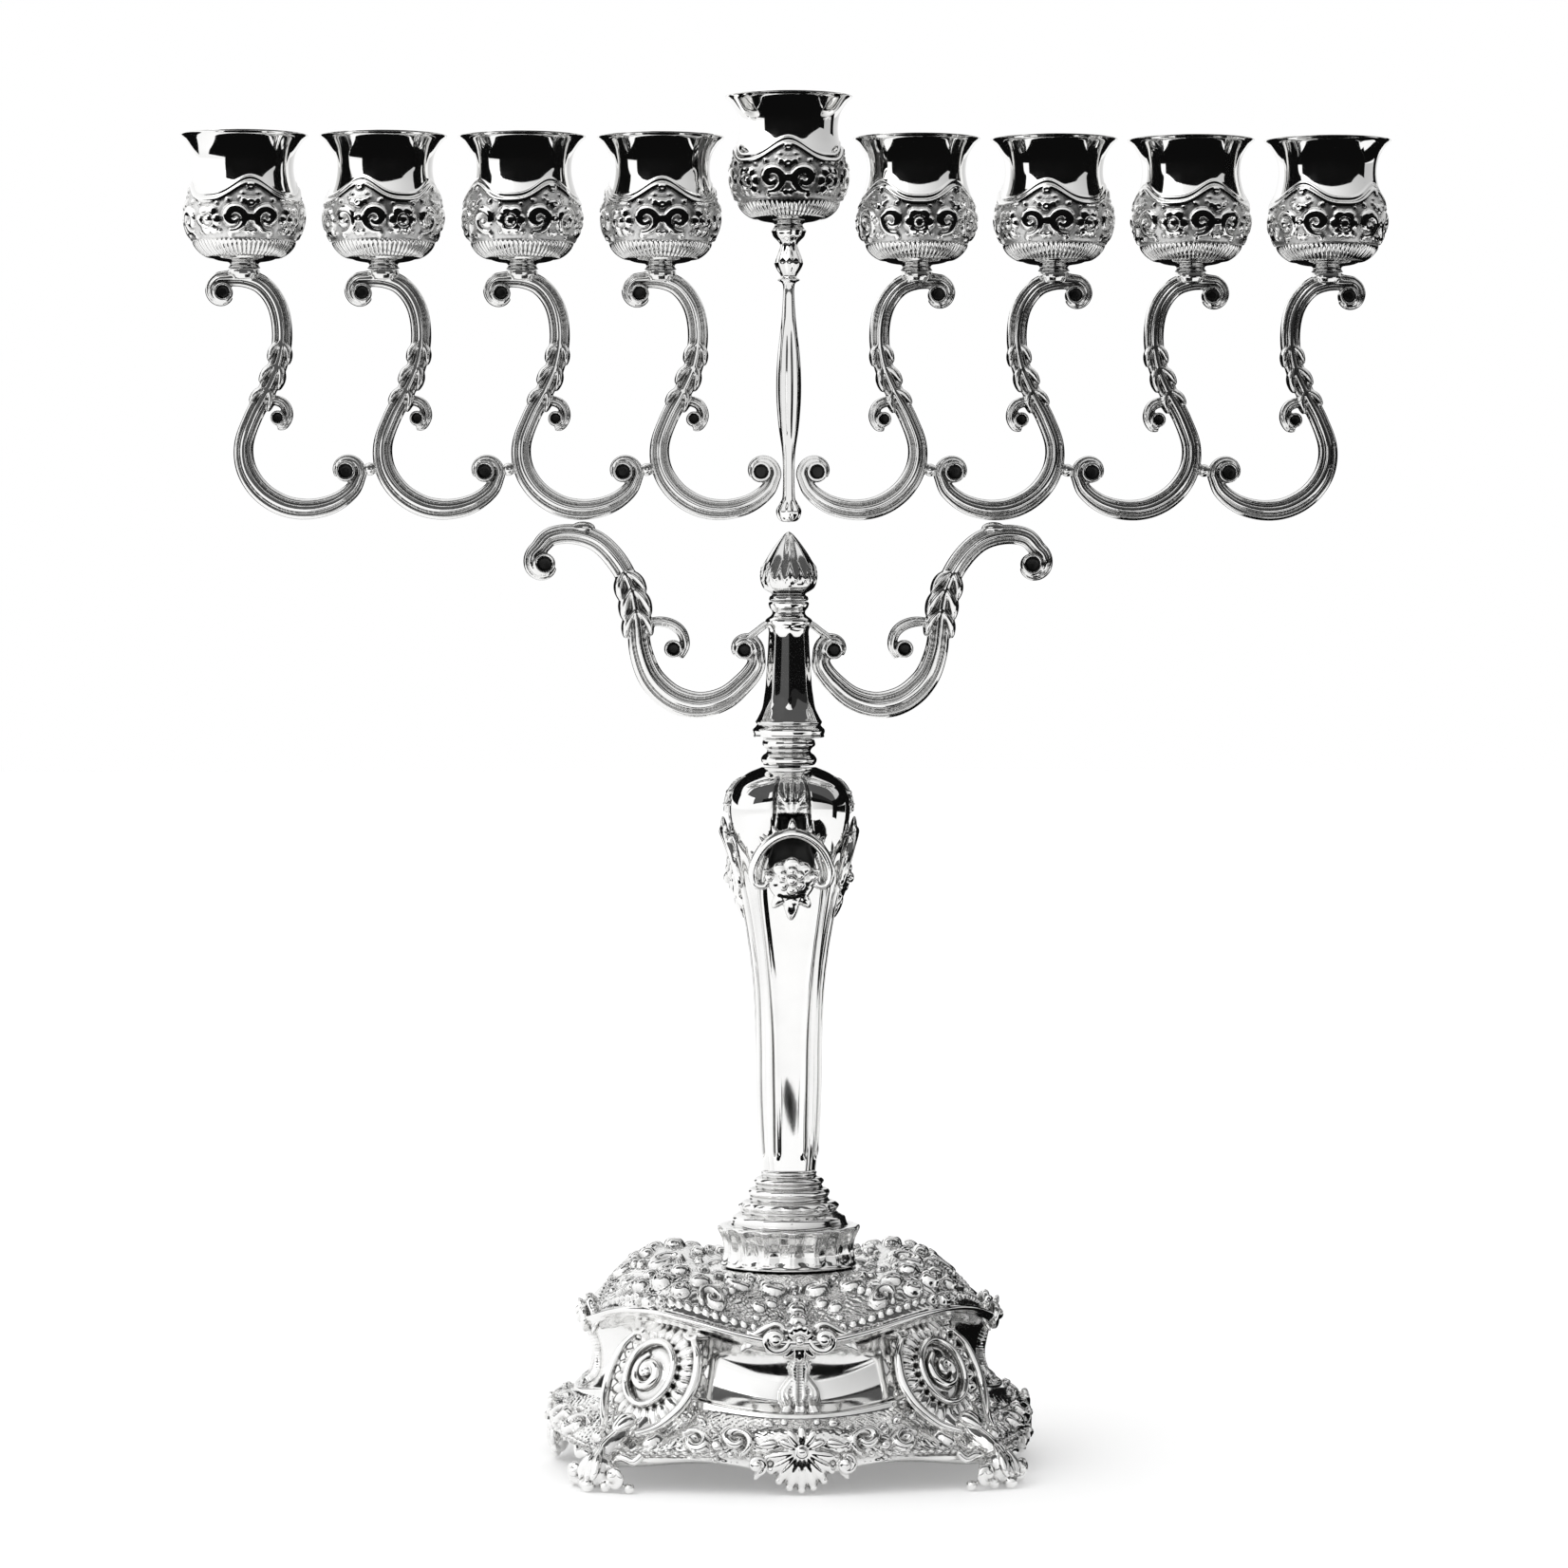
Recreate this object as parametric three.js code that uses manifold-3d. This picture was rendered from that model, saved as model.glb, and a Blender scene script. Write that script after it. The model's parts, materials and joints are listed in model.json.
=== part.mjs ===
// A nine-light silver menorah: a footed baroque base, a panelled baluster stem, two lower
// scroll arms that carry a row of eight S-scroll arms and a centre spindle, and nine tulip cups.
// The cups and the branch section each unscrew on a threaded stud.
// Millimetres, +Z up, +X along the row of cups, the front faces -Y, origin on the ground
// under the stem's axis.
import * as THREE from "three";
import { mergeVertices } from "three/addons/utils/BufferGeometryUtils.js";
import Module from "manifold-3d";

const wasm = await Module();
wasm.setup();

// ---------- driving dimensions ----------
const GAP = 0.3; // clearance between pieces that are soldered or screwed together

const FIRST_CUP_X = 40.5; // stem axis to the first side cup
const CUP_PITCH = 43.6; // one side cup to the next
const CUPS_A_SIDE = 4;
const CUP_HEIGHT = 41.5; // seat to rim
const SEAT_Z = 376.5; // seat of the side cups
const SHAMASH_SEAT_Z = 389.5; // seat of the raised centre cup
const CUP_FLOOR = 7; // floor of the candle well above the seat

const CUP_STUD_R = 1.9; // M4 stud
const CUP_STUD_HOLE_R = 2.05;
const CUP_STUD_IN_CUP = 4; // length of the stud above the seat
const CUP_STUD_BELOW = 4.6; // length below the seat

const BRANCH_STUD_R = 3.9; // M8 stud
const BRANCH_STUD_HOLE_R = 4.15;
const BRANCH_STUD_Z = [209, 238];

const TIE_ROD_R = 3;
const TIE_ROD_HOLE_R = 3.4;
const TIE_ROD_Z = [44, 200];

const BASE_TOP_Z = 61;
const BALUSTER_Z = [91.5, 219.6];
const COLLAR_Z = [219.9, 228.3];
const BLOCK_Z = [228.6, 271.7];
const BUD_Z = [272, 294];

const ROUND = 16; // facets round a turned piece
const CUP_FACETS = 12;
const ARM_FACETS = 6;
const SMALL_FACETS = 10; // facets round studs, eyes and other thin round pieces
const Y_AXIS = new THREE.Vector3(0, 1, 0);

// ---------- materials ----------
const polishedSilver = new THREE.MeshStandardMaterial({
  color: 0xe6e6e8,
  roughness: 0.08,
  metalness: 1,
});
const reliefSilver = new THREE.MeshStandardMaterial({
  color: 0xcfcfd2,
  roughness: 0.22,
  metalness: 1,
});
const studSteel = new THREE.MeshStandardMaterial({
  color: 0x8e9094,
  roughness: 0.35,
  metalness: 1,
});

// ---------- solids from three.js geometry, and back ----------
function solid(geometry) {
  const bare = geometry.clone();
  bare.deleteAttribute("normal");
  bare.deleteAttribute("uv");
  const merged = mergeVertices(bare, 1e-3);
  return new wasm.Manifold(
    new wasm.Mesh({
      numProp: 3,
      vertProperties: new Float32Array(merged.attributes.position.array),
      triVerts: new Uint32Array(merged.index.array),
    }),
  );
}

function geometryOf(made) {
  const { vertProperties, triVerts } = made.getMesh();
  const geometry = new THREE.BufferGeometry();
  geometry.setAttribute("position", new THREE.BufferAttribute(new Float32Array(vertProperties), 3));
  geometry.setIndex(new THREE.BufferAttribute(new Uint32Array(triVerts), 1));
  geometry.computeVertexNormals();
  return geometry;
}

// A turned piece about the Z axis from [radius, height] pairs that run up the outside.
function turned(profile, facets = ROUND) {
  const points = profile.map(([r, z]) => new THREE.Vector2(r, z));
  return new THREE.LatheGeometry(points, facets).rotateX(Math.PI / 2);
}

function rod(radius, zLow, zHigh, facets = SMALL_FACETS) {
  const geometry = new THREE.CylinderGeometry(radius, radius, zHigh - zLow, facets);
  return geometry.rotateX(Math.PI / 2).translate(0, 0, (zLow + zHigh) / 2);
}

function box(sizeX, sizeY, sizeZ, x, y, z) {
  return new THREE.BoxGeometry(sizeX, sizeY, sizeZ).translate(x, y, z);
}

// Joins rings of equal length into a closed skin. A loop closes on its first ring; otherwise
// each end is capped from its middle.
function loft(rings, loop = false) {
  const count = rings[0].length;
  const positions = rings.flat().flatMap((p) => [p.x, p.y, p.z]);
  const indices = [];
  const last = loop ? rings.length : rings.length - 1;
  for (let i = 0; i < last; i++) {
    const here = i * count;
    const next = ((i + 1) % rings.length) * count;
    for (let j = 0; j < count; j++) {
      const k = (j + 1) % count;
      indices.push(here + j, here + k, next + k, here + j, next + k, next + j);
    }
  }
  if (!loop) {
    [rings[0], rings[rings.length - 1]].forEach((ring, end) => {
      const middle = new THREE.Vector3();
      ring.forEach((p) => middle.addScaledVector(p, 1 / count));
      const centre = positions.length / 3;
      positions.push(middle.x, middle.y, middle.z);
      const start = end ? (rings.length - 1) * count : 0;
      for (let j = 0; j < count; j++) {
        const k = (j + 1) % count;
        indices.push(centre, start + (end ? j : k), start + (end ? k : j));
      }
    });
  }
  const geometry = new THREE.BufferGeometry();
  geometry.setAttribute("position", new THREE.Float32BufferAttribute(positions, 3));
  geometry.setIndex(indices);
  return geometry;
}

// ---------- scroll arms: bars swept along a curve in the XZ plane ----------
function planeCurve(points) {
  return new THREE.CatmullRomCurve3(
    points.map(([x, z]) => new THREE.Vector3(x, 0, z)),
    false,
    "centripetal",
  );
}

// A bar whose width, in the plane, and depth, along Y, swell from the ends to the middle.
function scrollBar(points, stations, endWidth, midWidth, endDepth, midDepth) {
  const curve = planeCurve(points);
  const rings = [];
  for (let i = 0; i <= stations; i++) {
    const t = i / stations;
    const swell = Math.sin(Math.PI * t) ** 0.6;
    const halfWidth = (endWidth + (midWidth - endWidth) * swell) / 2;
    const halfDepth = (endDepth + (midDepth - endDepth) * swell) / 2;
    const centre = curve.getPointAt(t);
    const across = new THREE.Vector3().crossVectors(Y_AXIS, curve.getTangentAt(t));
    const ring = [];
    for (let j = 0; j < ARM_FACETS; j++) {
      const angle = (2 * Math.PI * (j + 0.5)) / ARM_FACETS;
      ring.push(
        centre
          .clone()
          .addScaledVector(across, halfWidth * Math.cos(angle) * 1.08)
          .addScaledVector(Y_AXIS, halfDepth * Math.sin(angle) * 1.08),
      );
    }
    rings.push(ring);
  }
  return solid(loft(rings));
}

// The button that a scroll ends in, lying across the arm.
function scrollEye([x, z], radius, depth) {
  return solid(new THREE.CylinderGeometry(radius, radius, depth, SMALL_FACETS).translate(x, 0, z));
}

// ---------- the row of S-scroll arms ----------
const ARM_WIDTH = 6.2;
const ARM_DEPTH = 5.4;
const ARM_END = 3.4;
const UPPER_EYE = [5.4, 367.6];
const LOWER_EYE = [-31.6, 312.8];
const ARM_LINE = [
  UPPER_EYE,
  [9.6, 366.4],
  [10.6, 370.4],
  [6.6, 373],
  [0, 373.2],
  [-6, 370.8],
  [-10.4, 364.4],
  [-11.8, 355.4],
  [-10.4, 346],
  [-6.8, 337.6],
  [-2.6, 329.6],
  [0.2, 321],
  [-0.6, 313.4],
  [-5.4, 306.2],
  [-12.4, 301.8],
  [-20, 300.8],
  [-27.2, 302.6],
  [-33.2, 307],
  [-36, 312.6],
  [-32.4, 316.6],
  LOWER_EYE,
];
const LEAF_EYE = [-10.4, 329.2];
const LEAF_LINE = [[-5, 334.4], [-9.4, 334.8], [-12.8, 333], [-13.2, 329.2], LEAF_EYE];
const EYE_R = 3.3;
const LEAF_EYE_R = 2.8;
const LINK_Z = 313; // height of the bead that meets the next arm's lower scroll
const ARM_REACH = 38; // cup axis to the lower scroll's inner edge

const cupX = (n) => FIRST_CUP_X + CUP_PITCH * n;

// The nth arm out from the stem, on the right (+X) side, in place.
function rowArm(n) {
  const pieces = [
    scrollBar(ARM_LINE, 21, ARM_END, ARM_WIDTH, ARM_END, ARM_DEPTH),
    scrollBar(LEAF_LINE, 4, ARM_END, 3.6, ARM_END, 4.4),
    scrollEye(UPPER_EYE, EYE_R, ARM_DEPTH + 0.8),
    scrollEye(LOWER_EYE, EYE_R, ARM_DEPTH + 0.8),
    scrollEye(LEAF_EYE, LEAF_EYE_R, ARM_DEPTH),
    solid(rod(4.9, SEAT_Z - 3.4, SEAT_Z - GAP)),
  ];
  if (n < CUPS_A_SIDE - 1) {
    const beadEnd = CUP_PITCH - ARM_REACH - GAP;
    const bead = new THREE.CylinderGeometry(1.7, 1.7, beadEnd, 8).rotateZ(Math.PI / 2);
    pieces.push(solid(bead.translate(beadEnd / 2, 0, LINK_Z)));
  }
  const studHole = solid(rod(CUP_STUD_HOLE_R, SEAT_Z - CUP_STUD_BELOW - GAP, SEAT_Z + 1));
  return wasm.Manifold.union(pieces).subtract(studHole).translate(cupX(n), 0, 0);
}

// ---------- the two lower arms ----------
const LOWER_WIDTH = 7;
const LOWER_DEPTH = 6.4;
const LOWER_ARM_EYE = [76.8, 282.8];
const LOWER_ARM_ROOT_EYE = [14.4, 256.8];
const LOWER_ARM_LINE = [
  LOWER_ARM_EYE,
  [80.6, 281.6],
  [81.6, 287],
  [76, 292],
  [68, 293.2],
  [60.4, 290.6],
  [54, 284],
  [49.8, 275.6],
  [48, 266],
  [46.8, 256],
  [43.4, 247],
  [36.8, 240.4],
  [28.6, 238],
  [20.6, 240.2],
  [14.2, 245],
  [10.8, 251.4],
  [11, 257],
  [14, 260.4],
  LOWER_ARM_ROOT_EYE,
];
const LOWER_LEAF_EYE = [36.8, 256.8];
const LOWER_LEAF_LINE = [[47, 264.4], [41.6, 264.6], [35.6, 262.6], [33.6, 258], LOWER_LEAF_EYE];

function lowerArm(keepOut) {
  return wasm.Manifold.union([
    scrollBar(LOWER_ARM_LINE, 22, 4, LOWER_WIDTH, 4, LOWER_DEPTH),
    scrollBar(LOWER_LEAF_LINE, 5, 3.6, 4.2, 3.6, 5),
    scrollEye(LOWER_ARM_EYE, 4.4, LOWER_DEPTH + 1),
    scrollEye(LOWER_ARM_ROOT_EYE, 4, LOWER_DEPTH + 1),
    scrollEye(LOWER_LEAF_EYE, 3.2, LOWER_DEPTH),
  ]).subtract(keepOut);
}

// ---------- cups and their studs ----------
const CUP_OUTSIDE = [
  [5, 0],
  [4.4, 1.6],
  [12.6, 4.6],
  [17, 10],
  [18.5, 16.5],
  [15.8, 27.5],
  [15.7, 34],
  [20.2, 40.7],
  [20.2, CUP_HEIGHT],
];
const CUP_INSIDE = [
  [19.4, CUP_HEIGHT],
  [14.5, 34],
  [14.5, 27.5],
  [17.2, 16.5],
  [15.5, 10.4],
  [9.5, CUP_FLOOR],
  [0, CUP_FLOOR],
];
const CUP_BORE = [
  [0, CUP_STUD_IN_CUP + GAP],
  [CUP_STUD_HOLE_R, CUP_STUD_IN_CUP + GAP],
  [CUP_STUD_HOLE_R, 0],
];
const cupShape = turned([...CUP_BORE, ...CUP_OUTSIDE, ...CUP_INSIDE], CUP_FACETS);
const cupStudShape = rod(CUP_STUD_R, -CUP_STUD_BELOW, CUP_STUD_IN_CUP, CUP_FACETS);

// ---------- centre spindle, bud, block and collar ----------
const SPINDLE = [
  [0, 296.9],
  [2.4, 297.6],
  [3.6, 300.4],
  [2, 304],
  [1.9, 317],
  [3.4, 330],
  [3.7, 340],
  [3.2, 349],
  [2.1, 362],
  [1.9, 370],
  [2.9, 373.4],
  [4.3, 378.2],
  [3, 382.6],
  [3.4, 385.6],
  [5, 387],
  [5, SHAMASH_SEAT_Z - GAP],
  [0, SHAMASH_SEAT_Z - GAP],
];
const BUD = [
  [0, BUD_Z[0]],
  [5.4, BUD_Z[0]],
  [7.8, 274.6],
  [8.4, 278],
  [7.4, 282.4],
  [4.6, 288],
  [1.6, 292.4],
  [0, BUD_Z[1]],
];
const BLOCK = [
  [0, BLOCK_Z[0]],
  [10.4, BLOCK_Z[0]],
  [11.4, 231],
  [10.6, 235],
  [8, 240],
  [7, 248],
  [6.3, 262],
  [6.8, 267],
  [5.2, 269],
  [5.6, BLOCK_Z[1]],
  [0, BLOCK_Z[1]],
];
const COLLAR = [
  [BRANCH_STUD_HOLE_R, COLLAR_Z[0]],
  [7.8, COLLAR_Z[0]],
  [8.8, 222],
  [7.4, 224.6],
  [8.4, 226.6],
  [7.6, COLLAR_Z[1]],
  [BRANCH_STUD_HOLE_R, COLLAR_Z[1]],
  [BRANCH_STUD_HOLE_R, COLLAR_Z[0]],
];

// ---------- panelled baluster ----------
// Half-width of the section at each height.
const BALUSTER = [
  [BALUSTER_Z[0], 8.1],
  [104, 8.9],
  [118, 9.7],
  [146, 10],
  [162, 12],
  [178, 14.5],
  [190, 16.9],
  [198, 18.8],
  [204, 19.8],
  [210, 19.4],
  [214.5, 17],
  [217.5, 13],
  [BALUSTER_Z[1], 9],
];
const PANEL_SHARE = 0.56; // half-width of each flat panel against the section's half-width
const CORNER_SHARE = 0.72; // how far out the hollowed corner lies, along x and y

function balusterRing(halfWidth, z) {
  const quarter = [
    [1, -PANEL_SHARE],
    [1, PANEL_SHARE],
    [CORNER_SHARE, CORNER_SHARE],
  ];
  const ring = [];
  for (let turn = 0; turn < 4; turn++) {
    for (const [x, y] of quarter) {
      const corner = new THREE.Vector3(x * halfWidth, y * halfWidth, z);
      ring.push(corner.applyAxisAngle(new THREE.Vector3(0, 0, 1), (turn * Math.PI) / 2));
    }
  }
  return ring;
}

const balusterBlank = solid(loft(BALUSTER.map(([z, halfWidth]) => balusterRing(halfWidth, z))));

// ---------- base ----------
// Outer and inner [radius, height] pairs at the middle of a side and at a corner; the skin
// between them follows the same share of the way at every height.
const SIDE_OUTSIDE = [
  [TIE_ROD_HOLE_R, BASE_TOP_Z],
  [21, BASE_TOP_Z],
  [29, 58],
  [40, 56.5],
  [52, 52],
  [64.5, 45],
  [61.5, 40.5],
  [60, 34],
  [61.5, 27],
  [67.5, 23],
  [74.4, 19.4],
  [75, 13.5],
  [68, 4.5],
];
const CORNER_OUTSIDE = [
  [TIE_ROD_HOLE_R, BASE_TOP_Z],
  [21, BASE_TOP_Z],
  [31, 60],
  [44, 63],
  [57, 62],
  [66, 53],
  [60, 48.5],
  [56.5, 43],
  [58, 35],
  [62, 27],
  [68, 19],
  [79, 12],
  [84, 8],
];
const SIDE_INSIDE = [
  [65.5, 5],
  [72.4, 13.5],
  [71.4, 18],
  [65, 20.6],
  [59, 26],
  [57.5, 34],
  [54, 46],
  [20, 57],
  [TIE_ROD_HOLE_R, 57.5],
];
const CORNER_INSIDE = [
  [82, 6],
  [76, 9.4],
  [65.5, 16.6],
  [59.4, 25],
  [55.4, 33.5],
  [54, 42.5],
  [56, 54],
  [20, 57],
  [TIE_ROD_HOLE_R, 57.5],
];
const BASE_FACETS = 32;
const KNEE_LEAN = 0.42; // how far each knee's cartouche leans back, in radians
const ARCH_RISE = 3; // how far the lower edge arches up between a foot and a side's middle

// One level of the base: the corner share follows a sine, and the arch lifts the lower edge.
function baseRing(side, corner, arch) {
  const ring = [];
  for (let j = 0; j < BASE_FACETS; j++) {
    const angle = (2 * Math.PI * j) / BASE_FACETS;
    const share = Math.sin(2 * angle) ** 2;
    const radius = side[0] + (corner[0] - side[0]) * share;
    const rise = arch * ARCH_RISE * Math.sin(4 * angle) ** 2;
    const z = side[1] + (corner[1] - side[1]) * share + rise;
    ring.push(new THREE.Vector3(radius * Math.cos(angle), radius * Math.sin(angle), z));
  }
  return ring;
}

// The arch acts fully on the lower edge and less on the levels above it.
const archAt = (levelsFromEdge) => [1, 0.5, 0.15][levelsFromEdge] ?? 0;

const edgeLevel = SIDE_OUTSIDE.length - 1;
const outsideRings = SIDE_OUTSIDE.map((side, i) =>
  baseRing(side, CORNER_OUTSIDE[i], archAt(edgeLevel - i)),
);
const insideRings = SIDE_INSIDE.map((side, i) => baseRing(side, CORNER_INSIDE[i], archAt(i)));

// The base without its hollow, to keep the applied pieces off its skin.
const baseBlank = solid(loft([insideRings[0], ...outsideRings.slice(1).reverse()]));

// A blank grown by the gap: up, down and outwards from the axis.
function grown(blank, radius) {
  const spread = 1 + GAP / radius;
  return wasm.Manifold.union([
    blank.translate([0, 0, GAP]),
    blank.translate([0, 0, -GAP]),
    blank.scale([spread, spread, 1]),
  ]);
}

// A rounded lump of the given half-sizes (across, outward, up), at a radius and a height, its
// top leaning towards the axis by an angle.
function lump([across, outward, up], radius, z, lean = 0) {
  const ball = new THREE.SphereGeometry(1, 10, 7).rotateX(Math.PI / 2);
  return ball.scale(outward, across, up).rotateY(-lean).translate(radius, 0, z);
}

const aboveGround = solid(box(400, 400, 200, 0, 0, 100));

// ---------- base collar ----------
const BASE_COLLAR = [
  [TIE_ROD_HOLE_R, BASE_TOP_Z + GAP],
  [21, BASE_TOP_Z + GAP],
  [21.6, 66],
  [22.2, 73],
  [19.4, 75],
  [17, 78],
  [14.4, 80.6],
  [14.2, 83],
  [12, 85.4],
  [11.6, 88],
  [9.4, 89.8],
  [8.6, BALUSTER_Z[0] - GAP],
  [TIE_ROD_HOLE_R, BALUSTER_Z[0] - GAP],
  [TIE_ROD_HOLE_R, BASE_TOP_Z + GAP],
];

// ---------- the assembly ----------
const menorah = new THREE.Group();

function add(name, geometry, material, place = () => {}) {
  const mesh = new THREE.Mesh(geometry, material);
  mesh.name = name;
  place(mesh);
  menorah.add(mesh);
}

const SIDES = [
  ["right", 0],
  ["back", 1],
  ["left", 2],
  ["front", 3],
];
const CORNERS = [
  ["back_right", 0.5],
  ["back_left", 1.5],
  ["front_left", 2.5],
  ["front_right", 3.5],
];

// Four copies of a piece that is modelled on the +X axis, each turned to its own quarter.
function addQuarters(prefix, made, quarters) {
  const geometry = geometryOf(made);
  for (const [name, quarter] of quarters) {
    add(`${prefix}_${name}`, geometry, reliefSilver, (mesh) => {
      mesh.rotation.z = (quarter * Math.PI) / 2;
    });
  }
}

// Base and what is applied to it.
add("base_dome", loft([...outsideRings, ...insideRings].reverse(), true), reliefSilver);
const offBase = grown(baseBlank, SIDE_OUTSIDE[edgeLevel][0] / 2);
const offBaseCorner = offBase.rotate([0, 0, -45]);
const foot = solid(lump([14, 8.6, 13], 86, 1.5));
addQuarters("foot", foot.subtract(offBaseCorner).intersect(aboveGround), CORNERS);
const kneeShell = solid(lump([13, 6, 15.5], 59.5, 34, KNEE_LEAN));
addQuarters("knee_shell", kneeShell.subtract(offBaseCorner), CORNERS);
const sideScroll = solid(lump([18.5, 9.5, 7.5], 59.5, 47.5));
addQuarters("side_scroll", sideScroll.subtract(offBase), SIDES);
const apronShell = solid(lump([14.5, 7.5, 9.4], 70, 10.8));
addQuarters("apron_shell", apronShell.subtract(offBase), SIDES);

// Stem.
add("base_collar", turned(BASE_COLLAR, 20), polishedSilver);
const balusterBore = solid(rod(TIE_ROD_HOLE_R, BALUSTER_Z[0] - 5, TIE_ROD_Z[1] + GAP));
const balusterSocket = solid(
  rod(BRANCH_STUD_HOLE_R, BRANCH_STUD_Z[0] - GAP, BALUSTER_Z[1] + 5),
);
const baluster = balusterBlank.subtract(balusterBore).subtract(balusterSocket);
add("stem_baluster", geometryOf(baluster), polishedSilver);
const stemFlower = solid(lump([11, 5, 13], 16.6, 184.5));
addQuarters("stem_flower", stemFlower.subtract(grown(balusterBlank, BALUSTER[0][1])), SIDES);
add("stem_collar", turned(COLLAR), polishedSilver);

// Tie rod, and the washer and nut that draw the stem down on the base.
const WASHER_Z = [55.4, 57.2];
const NUT_Z = [48.4, 55.1];
const rodClearance = solid(rod(TIE_ROD_HOLE_R, ...TIE_ROD_Z));
const washer = solid(rod(11, ...WASHER_Z, ROUND)).subtract(rodClearance);
const nut = solid(rod(6.5, ...NUT_Z, 6)).subtract(rodClearance);
add("tie_rod", rod(TIE_ROD_R, ...TIE_ROD_Z), studSteel);
add("base_washer", geometryOf(washer), studSteel);
add("base_nut", geometryOf(nut), studSteel);

// Branch section.
const blockBody = solid(turned(BLOCK));
const blockSocket = solid(
  rod(BRANCH_STUD_HOLE_R, BLOCK_Z[0] - 2, BRANCH_STUD_Z[1] + GAP),
);
add("branch_stud", rod(BRANCH_STUD_R, ...BRANCH_STUD_Z), studSteel);
add("arm_block", geometryOf(blockBody.subtract(blockSocket)), polishedSilver);
add("bud_finial", turned(BUD), polishedSilver);
const spindleBore = solid(
  rod(CUP_STUD_HOLE_R, SHAMASH_SEAT_Z - CUP_STUD_BELOW - GAP, SHAMASH_SEAT_Z + 2),
);
const spindle = solid(turned(SPINDLE, SMALL_FACETS)).subtract(spindleBore);
add("centre_spindle", geometryOf(spindle), polishedSilver);

const offBlock = solid(turned(BLOCK.map(([r, z]) => [r ? r + GAP : 0, z])));
for (const [side, mirror] of [["right", 1], ["left", -1]]) {
  // Turning a piece half round the stem puts it on the left, because each is alike front and back.
  const place = (mesh) => {
    mesh.rotation.z = mirror > 0 ? 0 : Math.PI;
  };
  add(`lower_arm_${side}`, geometryOf(lowerArm(offBlock)), polishedSilver, place);
  for (let n = 0; n < CUPS_A_SIDE; n++) {
    add(`arm_${side}_${n + 1}`, geometryOf(rowArm(n)), polishedSilver, place);
  }
}

// Cups and the studs they turn on.
const cupPlaces = [["shamash", 0, SHAMASH_SEAT_Z]];
for (let n = 0; n < CUPS_A_SIDE; n++) {
  cupPlaces.push([`right_${n + 1}`, cupX(n), SEAT_Z]);
  cupPlaces.push([`left_${n + 1}`, -cupX(n), SEAT_Z]);
}
for (const [name, x, z] of cupPlaces) {
  const place = (mesh) => mesh.position.set(x, 0, z);
  add(`cup_${name}`, cupShape, polishedSilver, place);
  add(`cup_stud_${name}`, cupStudShape, studSteel, place);
}

export default menorah;
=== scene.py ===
"""A nine-light silver menorah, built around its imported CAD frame.

Everything is modelled in millimetres in the frame's own axes (+X along the cups, -Y the front,
+Z up) and stored in metres. The CAD gives where each piece stands; the shapes here add the
chased and cast ornament.
"""
import json
import math

import bmesh
import bpy
import mathutils
import numpy as np
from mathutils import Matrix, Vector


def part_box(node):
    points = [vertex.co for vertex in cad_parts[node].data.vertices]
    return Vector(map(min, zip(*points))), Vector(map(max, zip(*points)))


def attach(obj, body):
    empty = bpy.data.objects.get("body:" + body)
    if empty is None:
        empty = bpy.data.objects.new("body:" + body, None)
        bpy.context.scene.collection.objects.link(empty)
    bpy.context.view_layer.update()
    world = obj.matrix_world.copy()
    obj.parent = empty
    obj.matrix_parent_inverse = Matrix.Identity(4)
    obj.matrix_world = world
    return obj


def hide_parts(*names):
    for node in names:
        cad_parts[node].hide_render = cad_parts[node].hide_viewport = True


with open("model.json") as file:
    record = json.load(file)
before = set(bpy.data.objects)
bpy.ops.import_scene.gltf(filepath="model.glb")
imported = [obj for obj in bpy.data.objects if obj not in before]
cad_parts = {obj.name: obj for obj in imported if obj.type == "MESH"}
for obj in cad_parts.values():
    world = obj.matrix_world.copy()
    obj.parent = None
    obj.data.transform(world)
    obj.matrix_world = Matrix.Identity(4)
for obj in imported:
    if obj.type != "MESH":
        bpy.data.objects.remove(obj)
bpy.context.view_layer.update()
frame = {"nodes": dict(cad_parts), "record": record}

MM = 0.001
QUARTER = math.pi / 2
EIGHTH = math.pi / 4
FULL = 2 * math.pi
SIDES = {"right": 0, "back": 1, "left": 2, "front": 3}
CORNERS = {"back_right": 0.5, "back_left": 1.5, "front_left": 2.5, "front_right": 3.5}

record = frame["record"]
body_of = {node: body for body, nodes in record["behaviour"]["bodies"].items() for node in nodes}


# ---------- curves and profiles ----------
def spline(knots, places):
    """Points on a smooth curve through the knots; places run from 0 to the last knot's index."""
    knots = np.asarray(knots, float)
    slope = np.gradient(knots, axis=0)
    i = np.clip(np.floor(places).astype(int), 0, len(knots) - 2)
    f = (np.asarray(places) - i)[:, None]
    a, b, c, d = knots[i], knots[i + 1], slope[i], slope[i + 1]
    leaving = a * (1 + 2 * f) * (1 - f) ** 2 + c * f * (1 - f) ** 2
    return leaving + b * f * f * (3 - 2 * f) + d * f * f * (f - 1)


def travelled(line):
    """How far along a line each of its points is."""
    return np.concatenate([[0], np.cumsum(np.linalg.norm(np.diff(line, axis=0), axis=1))])


def evenly(line, count):
    """The same line, with points evenly spaced along it."""
    far = travelled(line)
    wanted = np.linspace(0, far[-1], count)
    return np.stack([np.interp(wanted, far, axis) for axis in line.T], axis=1)


def smooth(knots, count):
    return evenly(spline(knots, np.linspace(0, len(knots) - 1, 24 * len(knots))), count)


def spiral(centre, outer, inner, start, turns, count=40):
    """A volute's centreline from its outer end in; angles in turns, positive anticlockwise."""
    t = np.linspace(0, 1, count)
    radius = outer + (inner - outer) * t**0.85
    angle = FULL * (start + turns * t)
    return np.stack([centre[0] + radius * np.cos(angle), centre[1] + radius * np.sin(angle)], axis=1)


def unit(vectors):
    return vectors / np.maximum(np.linalg.norm(vectors, axis=-1, keepdims=True), 1e-6)


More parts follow.
